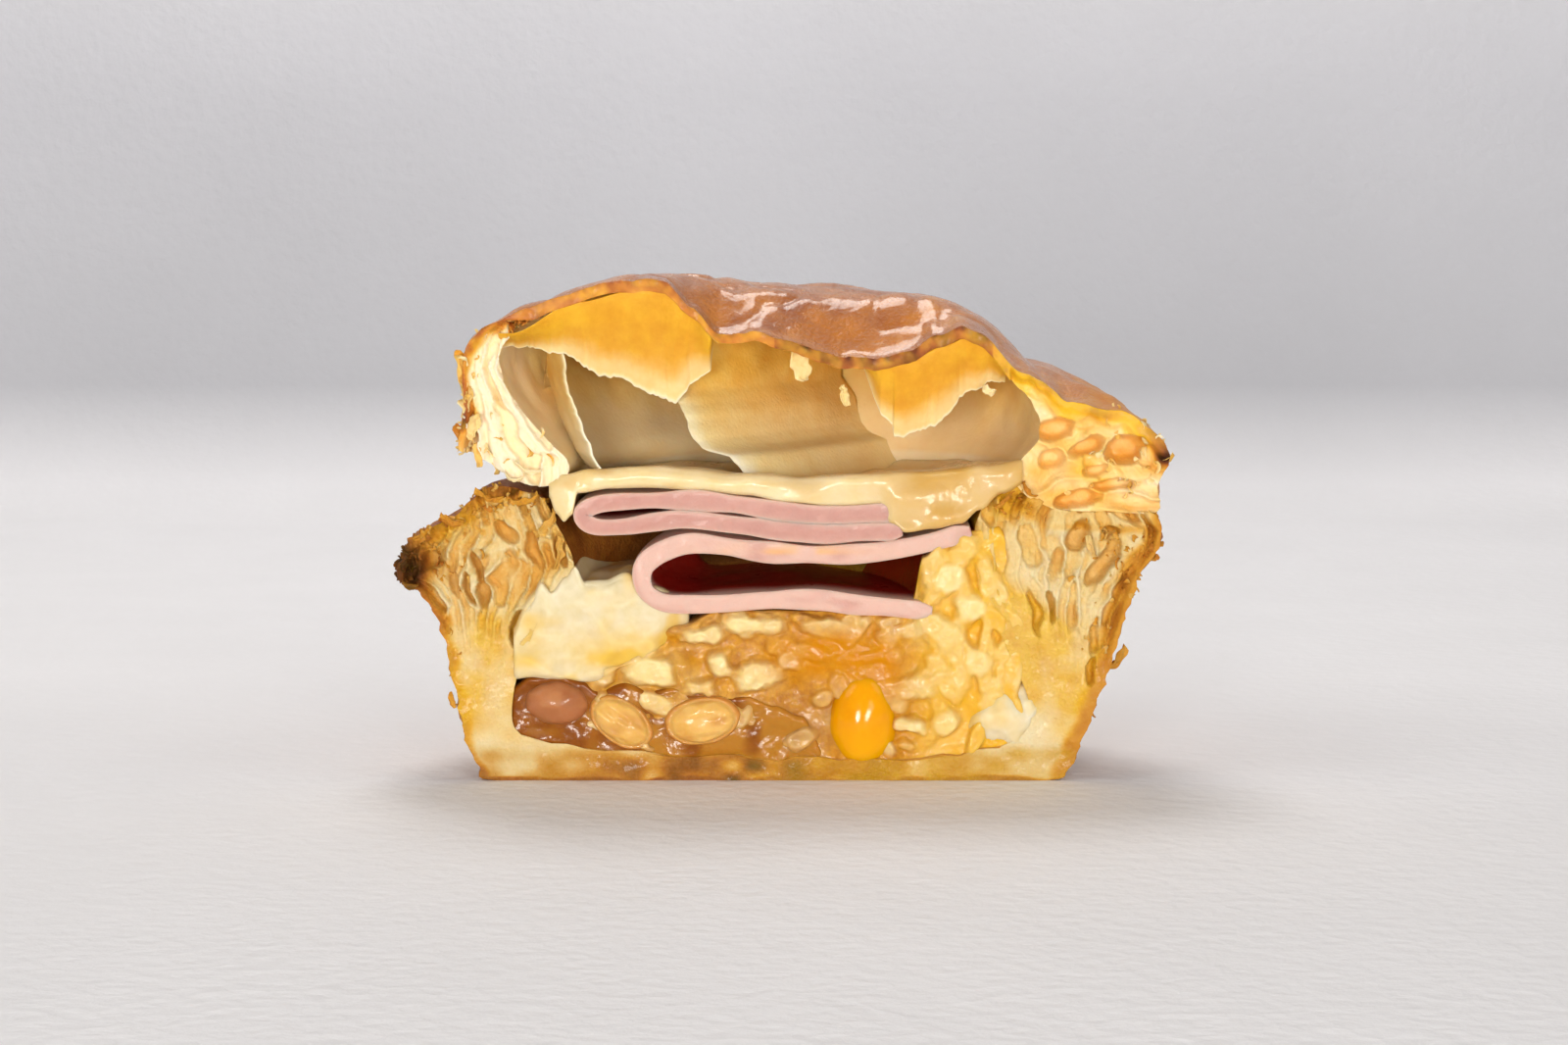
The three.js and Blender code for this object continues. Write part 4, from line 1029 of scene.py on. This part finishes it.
def curled_flake(name, numbers, material, node):
    """A scrap of pastry, bent along its length."""
    at, (long, wide), curl, turns, toast = numbers[:3], numbers[3:5], numbers[5], numbers[6:9], numbers[9]
    unit, faces = box_skin(22, 1, 16)
    a, b = unit[:, 0] * 2 - 1, unit[:, 2] * 2 - 1
    seed = at[0] + at[2]
    narrow = 1 - 0.5 * np.abs(a) ** 3 + 0.25 * noise(a * 2, seed, 1.0)
    bend = a * curl / 2
    along = np.sin(bend) * long / curl
    across = b * wide / 2 * narrow + 0.12 * wide * noise(a * 4, seed, 2.0)
    lift = (1 - np.cos(bend)) * long / curl + 0.1 * long * noise(a * 2.2, b * 2.2, seed)
    lift = lift + (unit[:, 1] - 0.5) * FLAKE_THICKNESS
    turned = np.stack([along, lift, across], axis=1) @ np.array(Euler(np.radians(turns)).to_matrix()).T
    pastry_sheet(name, turned + at, faces, material, toast, 0.2, node)


# Torn scraps: place (3), length and width, bend, turns about X, Y and Z in degrees, how browned.
LID_SCRAPS = [
    (4, -1.4, 61.4, 5.6, 3, 1.4, 10, 80, 20, 0.14), (10.4, -0.5, 56.8, 3.4, 1.3, 1, 0, 75, 0, 0.16),
    (31.6, -2.2, 57.6, 2.6, 1.2, 2.4, 20, 20, 10, 0.1), (-45.6, -3.2, 60.5, 5, 1.4, 0.9, 0, 84, 30, 0.3),
    (-44.9, -3.4, 56, 5.2, 1.2, 1.4, 0, 100, 10, 0.24), (-45.9, -3, 51.2, 3.6, 1.5, 1.8, 10, 60, 40, 0.66),
    (-44.2, -3.6, 52.4, 4.4, 1.6, 1.2, 0, 110, -20, 0.2), (-43.4, -2.8, 48.2, 3.8, 1.2, 1, 0, 80, 10, 0.26),
    (-46, -2, 62.6, 2.4, 1.4, 1.6, 30, 40, 30, 0.45), (-38.2, -3.6, 44.6, 4, 1.8, 2.6, 80, 10, 0, 0.08),
    (-36.4, -3.9, 46, 4.6, 1.2, 1.6, 70, 24, 0, 0.06),
]
CASE_SCRAPS = [
    (50.5, 2.6, 16.6, 6.4, 2.4, 1.2, 60, -36, 0, 0.4), (-47.5, -3.9, 38.4, 4, 1.4, 1.4, 60, 20, 0, 0.5),
    (-52, -3.6, 35.8, 3.6, 1.6, 1.8, 70, -30, 0, 0.56), (-42, -3.9, 42, 4.6, 1.4, 1, 70, 16, 0, 0.46),
    (-36.5, -3.6, 41.4, 4.4, 1.5, 1.2, 70, -20, 0, 0.4), (-33.2, -3, 38, 4.8, 1.4, 1.3, 60, -56, 0, 0.34),
    (-31.6, -2.4, 33.6, 5.2, 1.2, 1.1, 40, -76, 0, 0.3), (-53.6, -4.2, 28.9, 2.8, 1.5, 1.6, 60, 10, 0, 0.9),
    (-47.6, -4, 12, 2.6, 0.9, 1, 30, 80, 0, 0.44), (46.4, -3.9, 34.8, 3.6, 1, 1.2, 40, 70, 0, 0.18),
    (37.2, -4.1, 43, 3.2, 1.2, 1.4, 60, 50, 0, 0.56), (33.6, -4, 41.2, 3, 1.1, 1.2, 60, -40, 0, 0.5),
]


def torn_pastry(crust, pastry):
    """The thin sheets and scraps that stand free of the two bodies."""
    hanging_flap("lid_flap_left", LEFT_FLAP_HEM, 5.5, 1.0, 5.2, crust)
    hanging_flap("lid_flap_right", RIGHT_FLAP_HEM, 4.5, 0.8, 8.6, crust)
    inner_web("lid_web_left", LEFT_WEB, 19, -5, 3.3, (0.06, 0.16), crust)
    inner_web("lid_web_middle", MIDDLE_WEB, 33, 26, 6.1, (0.14, 0.14), crust)
    for n, numbers in enumerate(LID_SCRAPS):
        curled_flake(f"lid_scrap_{n + 1}", numbers, crust, "pastry_lid")
    for n, numbers in enumerate(CASE_SCRAPS):
        curled_flake(f"case_scrap_{n + 1}", numbers, pastry, "pastry_case")


def build_flake_scatter():
    """Geometry nodes that strew flakes over a surface, more where its mask `crumbly` is high."""
    group = bpy.data.node_groups.new("flake_scatter", "GeometryNodeTree")
    kinds = {
        "Surface": "Geometry", "Flake": "Object", "Most per square metre": "Float", "Least size": "Float",
        "Largest size": "Float", "Seed": "Int", "Finish": "Material",
    }
    for key, kind in kinds.items():
        group.interface.new_socket(key, in_out="INPUT", socket_type="NodeSocket" + kind)
    group.interface.new_socket("Flakes", in_out="OUTPUT", socket_type="NodeSocketGeometry")
    given, out = group.nodes.new("NodeGroupInput").outputs, group.nodes.new("NodeGroupOutput").inputs

    def add(kind, inputs, **settings):
        return put(group, kind, inputs, **settings).outputs

    crumbly = add("GeometryNodeInputNamedAttribute", {"Name": "crumbly"}, data_type="FLOAT")[0]
    amount = sums(group, "MULTIPLY", crumbly, given["Most per square metre"])
    seed = {"Seed": given["Seed"]}
    strewing = {"Mesh": given["Surface"], "Density": amount, **seed}
    strewn = add("GeometryNodeDistributePointsOnFaces", strewing)
    full_turn = {0: (0.0, 0.0, 0.0), 1: (6.28, 6.28, 6.28)}
    any_turn = add("FunctionNodeRandomValue", {**full_turn, **seed}, data_type="FLOAT_VECTOR")[0]
    limits = {2: given["Least size"], 3: given["Largest size"]}
    any_size = add("FunctionNodeRandomValue", {**limits, **seed}, data_type="FLOAT")[1]
    shape = add("GeometryNodeObjectInfo", {"Object": given["Flake"]})["Geometry"]
    laid = {"Points": strewn["Points"], "Instance": shape, "Rotation": any_turn, "Scale": any_size}
    real = add("GeometryNodeRealizeInstances", {"Geometry": add("GeometryNodeInstanceOnPoints", laid)[0]})[0]
    finished = add("GeometryNodeSetMaterial", {"Geometry": real, "Material": given["Finish"]})[0]
    group.links.new(finished, out["Flakes"])
    return group


def small_flake():
    """A curled flake one millimetre long, of a few dozen faces."""
    unit, faces = box_skin(4, 1, 3)
    a, b = unit[:, 0] - 0.5, unit[:, 2] - 0.5
    wide = 0.6 * (1 - 1.2 * a * a) + 0.1 * np.sin(9 * a)
    lift = 0.9 * a * a - 0.5 * b * b + (unit[:, 1] - 0.5) * 0.08
    return make_piece("small_flake", np.stack([a, lift, b * wide + 0.1 * np.sin(5 * a)], axis=1), faces)


def strewn_flakes(name, host, crumbly, most, sizes, seed, toast, material, node):
    """Flakes strewn on a piece where `crumbly` is high, at most so many on a square millimetre."""
    bare, flake = host.copy(), small_flake()
    bare.data = host.data.copy()
    bpy.context.scene.collection.objects.link(bare)
    for key in ("toast", "burnt", "soaked", "glaze"):
        bare.data.attributes.remove(bare.data.attributes[key])
    set_masks(bare, crumbly=crumbly)
    scatter = bare.modifiers.new("flakes", "NODES")
    scatter.node_group = FLAKE_SCATTER
    values = {
        "Flake": flake, "Most per square metre": most / MM**2, "Least size": sizes[0],
        "Largest size": sizes[1], "Seed": seed, "Finish": material,
    }
    for socket in FLAKE_SCATTER.interface.items_tree:
        if socket.name in values:
            scatter[socket.identifier] = values[socket.name]
    found = bpy.data.meshes.new_from_object(bare.evaluated_get(bpy.context.evaluated_depsgraph_get()))
    bare.modifiers.remove(scatter)
    for spare in (bare, flake):
        mesh = spare.data
        bpy.data.objects.remove(spare)
        bpy.data.meshes.remove(mesh)
    if "crumbly" in found.attributes:
        found.attributes.remove(found.attributes["crumbly"])
    piece = bpy.data.objects.new(name, found)
    bpy.context.scene.collection.objects.link(piece)
    x, _, z = p = places_of(piece).T
    tip = around(x, z, *BURNT_TIP, 3.6, 4.4)
    toast = toast + 0.25 * noise(*p / 1.5) + (0.6 * tip + 0.15 * around(x, z, 35.6, 43, 3, 3))
    set_masks(piece, toast=toast, burnt=0.4 * tip, soaked=0.12, glaze=0.2)
    finish_piece(piece, node, material)


def loose_flakes(case, lid, crust, pastry):
    x, y, z = places_of(case).T
    left_rim = blots(
        x, z, (1, -46, 41, 9, 2.4), (1, -52.6, 36, 3, 4), (0.06, -44, 32, 9, 6), (0.8, -54.6, 31.6, 2, 3))
    right_rim = blots(x, z, (1, 35.6, 43, 4, 3), (0.04, 46, 33, 10, 7), (0.4, 55, 34, 4, 6))
    sides = 0.12 * ramp(np.hypot(x, y), 44, 48) * ramp(z, 4, 20)
    crumbly = ramp(4 - y, 0, 3) * np.maximum(left_rim, right_rim) + sides
    strewn_flakes("case_flakes", case, crumbly, 0.5, (0.5, 1.7), 4, 0.4, pastry, "pastry_case")
    x, y, z = places_of(lid).T
    left_side = blots(x, z, (0.8, -45.6, 55, 1.8, 9), (0.25, -42, 50, 5, 6))
    crumbly = ramp(3 - y, 0, 3) * np.maximum(left_side, 0.3 * around(x, z, 54, 48, 6, 7))
    strewn_flakes("lid_flakes", lid, crumbly, 0.4, (0.6, 2.2), 9, 0.2, crust, "pastry_lid")


# ---- Fillings ----
def cheese(material):
    piece = layer(
        "cheese_melted", -33.2, 36.6, CHEESE_BOTTOM, CHEESE_TOP, (280, 50, 30),
        lambda x, z: 0.6 * noise(x / 5, 2.0, z / 3) + 0.1 * rough(x / 2, 2.6, z / 2) - 0.5 * ramp(x, 14, 18),
        lambda x, d: 0.4 * noise(x / 9, d / 9, 7.0) * np.clip(d / 4, 0, 1) + 0.3 * noise(x / 4, d / 4, 9.0)
        - 2.2 * ramp(d, 2, 20),
        1.7, 0.9,
    )
    x, y, z = places_of(piece).T
    pools = 0.45 * ramp(noise(x / 5, y / 5, z / 2), 0.1, 0.8)
    oily = np.maximum(pools, (0.75 + 0.3 * noise(x / 3, y / 3, z / 2)) * ramp(x, 8, 24))
    set_masks(piece, oil=oily * ramp(CUT_Y + 6 - y, 0, 5))
    finish_piece(piece, "cheese", material)


def ham(material):
    folded = slice_of_ham(
        "ham_folded_slice", FOLDED_HAM, FOLDED_HAM_THICKNESS, 0.6, lambda share: 0.25 * np.sin(23 * share))
    loop = slice_of_ham(
        "ham_looped_slice", HAM_LOOP, HAM_THICKNESS, 0.1, lambda share: 0.3 * np.sin(17 * share + 1))
    x, y, z = places_of(loop).T
    smear = around(x, z, 2.5, 33.6, 9, 1.3) * ramp(noise(x / 2.5, y / 3, z / 2), -0.5, 0.4)
    set_masks(loop, yolky=0.85 * (smear * ramp(z, 33.4, 34.2)))
    set_masks(folded, yolky=0)
    finish_piece(folded, "ham_folded", material)
    finish_piece(loop, "ham_loop", material)


def lump(name, steps, at, half, tilt, sunk, bumps, neck=0.0):
    """A lump at the cut, with `bumps(p)` on it. Gives the piece and its points."""
    ball, faces = ball_skin(steps)
    points = lump_places(blunt(ball), at, half, tilt, sunk, neck)
    points += ball * bumps(points.T)[:, None]
    return make_piece(name, points, faces), points.T


def egg(material):
    def folds(x, z):
        ridge = np.sqrt(noise((x + z) / 7, 6.0, (z - x) / 12) ** 2 + 0.01)
        billow = -0.7 + 2.6 * ridge + 0.8 * noise(x / 4.2, 6.6, z / 3.4)
        billow = billow + 0.55 * rough(x / 3, 6.9, z / 2.2, 2)
        return billow - 0.7 * ramp(-31 - x, 0, 3) + 1.2 * ramp(x, -18, -13.6)

    piece = layer(
        "egg_white_soft", -38.6, -12.6, EGG_WHITE_BOTTOM, EGG_WHITE_TOP, (130, 40, 70), folds,
        lambda x, d: 0.8 * noise(x / 5, d / 6, 11.0) * np.clip(d / 3, 0, 1), 1.6, 1.4,
    )
    x, y, z = p = places_of(piece).T
    low = blots(x, z, (0.8, -22, 19, 8, 3.6), (0.5, -36, 20, 3, 5))
    # Behind the cut face the egg white is made yellower, through the yolky mask.
    hollow = 0.25 * ramp(y - CUT_Y, 0.1, 1.4)
    set_masks(piece, yolky=low + hollow + 0.45 * ramp(noise(*p / 3), 0, 0.7))
    finish_piece(piece, "egg_white", material)
    corner, p = lump(
        "egg_white_lump", 36, (34.8, 9.2), (7.6, 12, 6.0), 24, 11.4, lambda p: 0.9 * rough(*p / 3))
    set_masks(corner, yolky=0.45 * ramp(noise(*p / 3) + 0.3, 0.1, 0.9) + 0.4 * ramp(31 - p[0], 0, 3))
    finish_piece(corner, "egg_white_corner", material)


def yolk(material):
    drop, p = lump(
        "egg_yolk_drop", 44, (13.2, 8.6), (5.4, 8, 6.8), 0, 5.9, lambda p: 0.2 * noise(*p / 4), 0.14)
    set_masks(drop, tint=ramp(12 - p[2], 2, 9))
    finish_piece(drop, "egg_yolk", material)


# Baked beans: place, half sizes, tilt and how far sunk in. The last two are cut through by the knife.
BEANS = {
    "bean_left": ((-32.1, 11.5), (4.8, 4.0, 3.3), -4, 2.2),
    "bean_middle": ((-22.6, 8.7), (5.4, 4.0, 3.4), -36, 2.4),
    "bean_right": ((-10.6, 8.9), (5.8, 4.2, 3.7), 9, 2.4),
}


def beans(dark, pale):
    for n, (name, (at, half, tilt, sunk)) in enumerate(BEANS.items()):
        ball, faces = ball_skin(36)
        halved = n > 0
        points = lump_places(blunt(ball, 3 + halved), at, half, tilt, sunk)
        turn = math.radians(tilt)
        dx, dz = points[:, 0] - at[0], points[:, 2] - at[1]
        a = (dx * math.cos(turn) + dz * math.sin(turn)) / half[0]
        b = (dz * math.cos(turn) - dx * math.sin(turn)) / half[2]
        from_edge = 1 - np.hypot(a, b)
        in_front = points[:, 1] < CUT_Y + 0.5
        skin = 0.14 * noise(ball[:, 0] * 2.4, ball[:, 1] * 2.4, ball[:, 2] * 3 + n)
        points += ball * skin[:, None]
        if halved:
            points[:, 1] += in_front * (0.45 * bell(from_edge - 0.16, 0.06))
            points[:, 1] += in_front * 0.25 * noise(a * 3, n + 1.0, b * 5)
        bean = make_piece(name + "_baked", points, faces)
        spots = 0.5 * ramp(noise(ball[:, 0] * 3, ball[:, 2] * 3, n + 9.0), 0.1, 0.8)
        set_masks(bean, tint=np.maximum(spots, halved * in_front * 0.8 * ramp(0.2 - from_edge, 0, 0.12)))
        finish_piece(bean, name, pale if halved else dark)


def bean_sauce(material):
    piece = layer(
        "bean_sauce_wet", -39.4, 7.4, FLOOR, SAUCE_TOP, (260, 16, 70),
        lambda x, z: 0.6 + 0.5 * noise(x / 3.6, 9.0, z / 3.2) + 0.2 * rough(x / 2, 9.4, z / 2, 3),
    )
    x, _, z = places_of(piece).T
    lighter = noise(x / 3, 4.0, z / 2.4) + 0.04 * (x + 20) + 0.3 * ramp(8 - z, 0, 5)
    set_masks(piece, tint=ramp(lighter, -0.2, 0.9))
    finish_piece(piece, "bean_sauce", material)


# Larger pieces of potato and egg at the cut: place, half sizes and tilt.
HASH_CHUNKS = [
    (-18.2, 16.4, 4, 2.1, -4), (-22, 18.3, 5, 1.5, 15), (-11.3, 13.8, 2.7, 1.5, 0),
    (-11, 21.6, 3.4, 1.6, 8), (-3.6, 23.2, 5.4, 1.4, -3), (8.6, 22.7, 4.8, 1.6, -6),
    (24.8, 22.4, 4, 2, -38), (4.8, 19.2, 3.4, 1.5, -18), (-8, 17.8, 1.9, 2.2, 20),
    (-2.6, 15.8, 3.8, 2.4, 12), (2.2, 18, 2.2, 1.7, 0), (20.6, 13.8, 5, 2.3, 8),
    (30, 17.6, 2.8, 2.3, -20), (20.2, 8.2, 2.6, 1.3, -8), (25.6, 8.6, 2.4, 1.8, 30),
    (26, 30, 2.6, 2.2, 15), (28.6, 25.6, 2.4, 2.6, 0),
]


# Smaller pieces at random: how many, then the least and largest place, half sizes and look, which is
# tilt, how proud they stand, how pale they are and how square.
HASH_BITS = [
    (44, ((-27, 4), (24, 26)), ((1.6, 0.9), (3.6, 1.9)), ((-60, 0.02, 0.15, 1.5), (60, 0.5, 0.75, 3.4))),
    (30, ((23, 6), (38, 36)), ((2.4, 1.0), (5.5, 2.4)), ((50, 0.2, 0.1, 1.5), (120, 0.7, 0.6, 2.0))),
]


def hash_pieces():
    """Every piece in the hash: place, half sizes and look."""
    chance = np.random.default_rng(7)
    pieces = [
        [number for limits in ranges for number in chance.uniform(*limits)]
        for count, *ranges in HASH_BITS for _ in range(count)
    ]
    looks = [(0.9, 0.55 + 0.4 * chance.random(), chance.uniform(2.2, 3.6)) for _ in HASH_CHUNKS]
    return pieces + [(*chunk, *look) for chunk, look in zip(HASH_CHUNKS, looks)]


HASH_PIECES = hash_pieces()


def hash_face(x, z):
    """Depth of the hash's cut face, and how pale it is there."""
    depth = 1.2 + 0.8 * noise(x / 3.4, 4.0, z / 2.8) + 0.2 * rough(x / 1.6, 4.4, z / 1.6, 3)
    pale = 0.14 * (1 + noise(x / 3, 9.0, z / 3))
    for at_x, at_z, across, high, tilt, proud, paleness, square in HASH_PIECES:
        near = np.flatnonzero(np.hypot(x - at_x, z - at_z) < 1.5 * across + high)
        dx, dz, turn = x[near] - at_x, z[near] - at_z, math.radians(tilt)
        a = np.abs(dx * math.cos(turn) + dz * math.sin(turn)) / across
        b = np.abs(-dx * math.sin(turn) + dz * math.cos(turn)) / high
        edge = (a**square + b**square) ** (1 / square) + 0.34 * noise(dx / 2.2, at_x, dz / 2.2)
        edge = edge + 0.1 * noise(dx / 0.7, at_z, dz / 0.7)
        rise = ease((1.15 - edge) / 0.6)
        level = 0.5 - 1.1 * proud + 0.25 * noise(dx / 1.2, at_z, dz / 1.2)
        level = level + 0.3 * dx / across * math.sin(at_x * 9)
        level = np.minimum(mix(depth[near], level, rise), depth[near])
        pale[near] = mix(pale[near], paleness * (0.9 + 0.2 * noise(dx, at_x, dz)), rise**2)
        depth[near] = level
    return depth, pale


def runny(x, z):
    """Where yolk has run over the hash."""
    return np.clip(blots(x, z, (1.3, 8, 18.6, 8, 3.6), (0.9, 15, 15, 4, 5)), 0, 1)


def potato_hash(material):
    def relief(x, z):
        flow = 0.1 + 0.45 * noise(x / 4, 8.0, z / 3)
        return mix(hash_face(x, z)[0], flow, 0.75 * runny(x, z))

    core = layer("hash_core", -29, 39, FLOOR, HASH_TOP, (340, 14, 190), relief)
    x, y, z = places_of(core).T
    pale = hash_face(x, z)[1] * (1 - 0.75 * runny(x, z))
    # Painted shade: the hash is painted dark red behind its cut face, up under the ham.
    set_masks(
        core, pale=pale,
        eggy=0.9 * ramp(x, 17, 25) * (1 - 0.4 * pale) + 0.3 * around(x, z, -18, 17, 8, 4),
        runny=runny(x, z) * (0.8 + 0.3 * noise(x / 2, 3.0, z / 2)),
        inside=ramp(y - CUT_Y, 2.0, 3.8) * ramp(z, 22, 26),
        brown=blots(x, z, (0.6, 2, 8, 9, 4), (0.5, 24, 10.5, 4, 2), (0.4, -13, 17, 2, 2)),
    )
    finish_piece(core, "potato_hash", material)


# ---- Floor, light and camera, in metres ----
# Lights: place, what they point at, width and watts.
LIGHTS = {
    "soft_light_behind": ((-0.05, 0.36, 0.62), (0, 0, 0.06), 0.3, 2.2),
    "soft_light_right": ((0.6, -0.15, 0.6), (0, 0, 0.03), 0.5, 0.7),
    "soft_light_left": ((-0.6, -0.2, 0.6), (0, 0, 0.03), 0.5, 1.0),
    "soft_light_front": ((0.42, -0.95, 0.24), (0, 0, 0.045), 0.3, 0.8),
    "soft_light_low_left": ((-0.13, -0.62, 0.08), (0, 0, 0.05), 0.14, 2.0),
    "soft_light_low_right": ((0.18, -0.62, 0.065), (0, 0, 0.05), 0.14, 1.4),
}
CAMERA_AT, CAMERA_AIM = (0.00145, -0.544, 0.0988), (0.00145, -0.004, 0.0384)
# The backdrop's colour, with painted light and shade, by the height above the floor as a share of
# BACKDROP_FADE.
BACKDROP_WITH_PAINTED_LIGHT = [
    (0.0, "F0F0F4"), (0.04, "EEEEF3"), (0.2, "C2C3CA"), (0.5, "CCCDD4"), (0.86, "DADBE2"), (1.0, "DFE0E6"),
]
BACKDROP_FADE = 0.14


def add_backdrop():
    """A floor that bends up into a wall, with painted light and shade in its colour. From behind, one
    can look through the wall.
    """
    wide, near, far, bend, high = 2.4, -1.2, 0.44, 0.1, 1.6
    profile = [(near, 0.0), (-0.4, 0.0), (0.1, 0.0), (far - bend, 0.0)]
    profile += [
        (far - bend + bend * math.sin(a), bend - bend * math.cos(a)) for a in np.radians(range(6, 91, 6))
    ]
    profile += [(far, 0.5), (far, high)]
    xs = np.linspace(-wide, wide, 9)
    points = np.array([[x, y, z] for x in xs for y, z in profile]) / MM
    number = np.arange(len(points)).reshape(len(xs), len(profile))
    floor = make_piece("floor_and_wall", points, [side(number)])
    plaster = Finish("pale_plaster", 60.0, 3.0, 0.25, Roughness=0.75)
    tree = plaster.tree
    coordinates = put(tree, "ShaderNodeTexCoord").outputs["Object"]
    place = put(tree, "ShaderNodeSeparateXYZ", {0: coordinates}).outputs
    lit = colour_ramp(tree, spread(tree, place["Z"], 0.0, BACKDROP_FADE, 0.0, 1.0), BACKDROP_WITH_PAINTED_LIGHT)
    # Painted shade: the floor is darker towards the camera.
    painted_floor_falloff = spread(tree, place["Y"], -0.4, 0.1, 0.84, 1.0)
    shade = sums(tree, "MULTIPLY", spread(tree, plaster.patches, 0.0, 1.0, 0.96, 1.0), painted_floor_falloff)
    shaded = put(tree, "ShaderNodeVectorMath", {0: lit, "Scale": shade}, operation="SCALE")
    plaster.link("Base Color", shaded.outputs[0])
    behind = put(tree, "ShaderNodeNewGeometry").outputs["Backfacing"]
    clear = put(tree, "ShaderNodeBsdfTransparent").outputs[0]
    one_sided = put(tree, "ShaderNodeMixShader", {0: behind, 1: plaster.shader.outputs[0], 2: clear})
    tree.links.new(one_sided.outputs[0], tree.nodes["Material Output"].inputs["Surface"])
    floor.data.materials.append(plaster.material)


def add_aimed(name, data, at, aim):
    """A light or a camera at a place, pointing at another."""
    holder = bpy.data.objects.new(name, data)
    holder.location = at
    holder.rotation_euler = (Vector(aim) - holder.location).to_track_quat("-Z", "Y").to_euler()
    bpy.context.scene.collection.objects.link(holder)
    return holder


def studio():
    scene = bpy.context.scene
    scene.view_settings.view_transform = "Standard"
    add_backdrop()
    world = bpy.data.worlds.new("soft_daylight")
    world.use_nodes = True
    sky = world.node_tree.nodes["Background"].inputs
    sky["Color"].default_value = (1.0, 0.97, 0.93, 1)
    sky["Strength"].default_value = 0.25
    scene.world = world
    for name, (at, aim, size, power) in LIGHTS.items():
        lamp = bpy.data.lights.new(name, "AREA")
        lamp.shape, lamp.size, lamp.energy, lamp.color = "DISK", size, power, (1.0, 0.96, 0.9)
        add_aimed(name, lamp, at, aim)
    lens = bpy.data.cameras.new("photo_view")
    lens.lens, lens.sensor_width = 85, 36
    scene.camera = add_aimed("photo_view", lens, CAMERA_AT, CAMERA_AIM)


# ---- The whole scene ----
studio()
FLAKE_SCATTER = build_flake_scatter()
PASTRY = pastry_finish("flaky_pastry", 3.0, 0.6, 0.22, 0.2, 0.5, "EAEAE2")
CRUST = pastry_finish("glazed_crust", 5.0, 0.6, 0.26, 0.5, 0.9, "FFFFFF", 0.2)
CASE = pastry_case(PASTRY)
LID = pastry_lid(CRUST)
torn_pastry(CRUST, PASTRY)
loose_flakes(CASE, LID, CRUST, PASTRY)
cheese(filling_finish(
    "melted_cheese", "E8D6AE", "E0C68C", 5.0, 0.05, (0.22, 0.42), 3.0, (1.0, 0.78, 0.42),
    {"oil": "C89C4C"}, 0.25, 1.2))
# The ham's last colour, dark red, is painted shade on its faces set back from the cut.
ham(filling_finish(
    "cooked_ham", "BE8C82", "C8988C", 3.0, 0.05, (0.26, 0.42), 2.4, (1.0, 0.4, 0.3),
    {"rim": "E0BEAF", "yolky": "E9B05A", "inside": "A8241A"}, 0.08, 0.5))
egg(filling_finish(
    "egg_white", "E4DAC0", "DACCA2", 3.0, 0.03, (0.36, 0.55), 1.6, (1.0, 0.88, 0.62),
    {"yolky": "E2BC54"}, 0.05))
yolk(filling_finish(
    "runny_yolk", "E8A200", "E09400", 6.0, 0.02, (0.06, 0.14), 2.5, (1.0, 0.5, 0.1),
    {"tint": "EBAA00"}, 0.3))
beans(*(
    filling_finish(name, light, dark, 3.0, 0.04, (0.24, 0.4), 1.5, tints, {"tint": tint}, 0.2)
    for name, light, dark, tints, tint in (
        ("dark_bean", "B0724A", "A2663E", (1.0, 0.5, 0.3), "C48A58"),
        ("pale_bean", "E4BC70", "D8A854", (1.0, 0.6, 0.2), "BE7C38"),
    )
))
bean_sauce(filling_finish(
    "bean_sauce", "985A16", "80440F", 4.0, 0.06, (0.12, 0.26), 1.2, (1.0, 0.5, 0.2),
    {"tint": "B27A28"}, 0.25))
# The hash's last colour, dark red, is painted shade behind its cut face.
potato_hash(filling_finish(
    "potato_hash", "D89C1E", "A86408", 1.5, 0.14, (0.1, 0.22), 0.6, (1.0, 0.6, 0.2),
    {"brown": "96561E", "eggy": "E6B42A", "pale": "ECDCA2", "runny": "CE8600", "inside": "8C1C0E"}, 0.15))
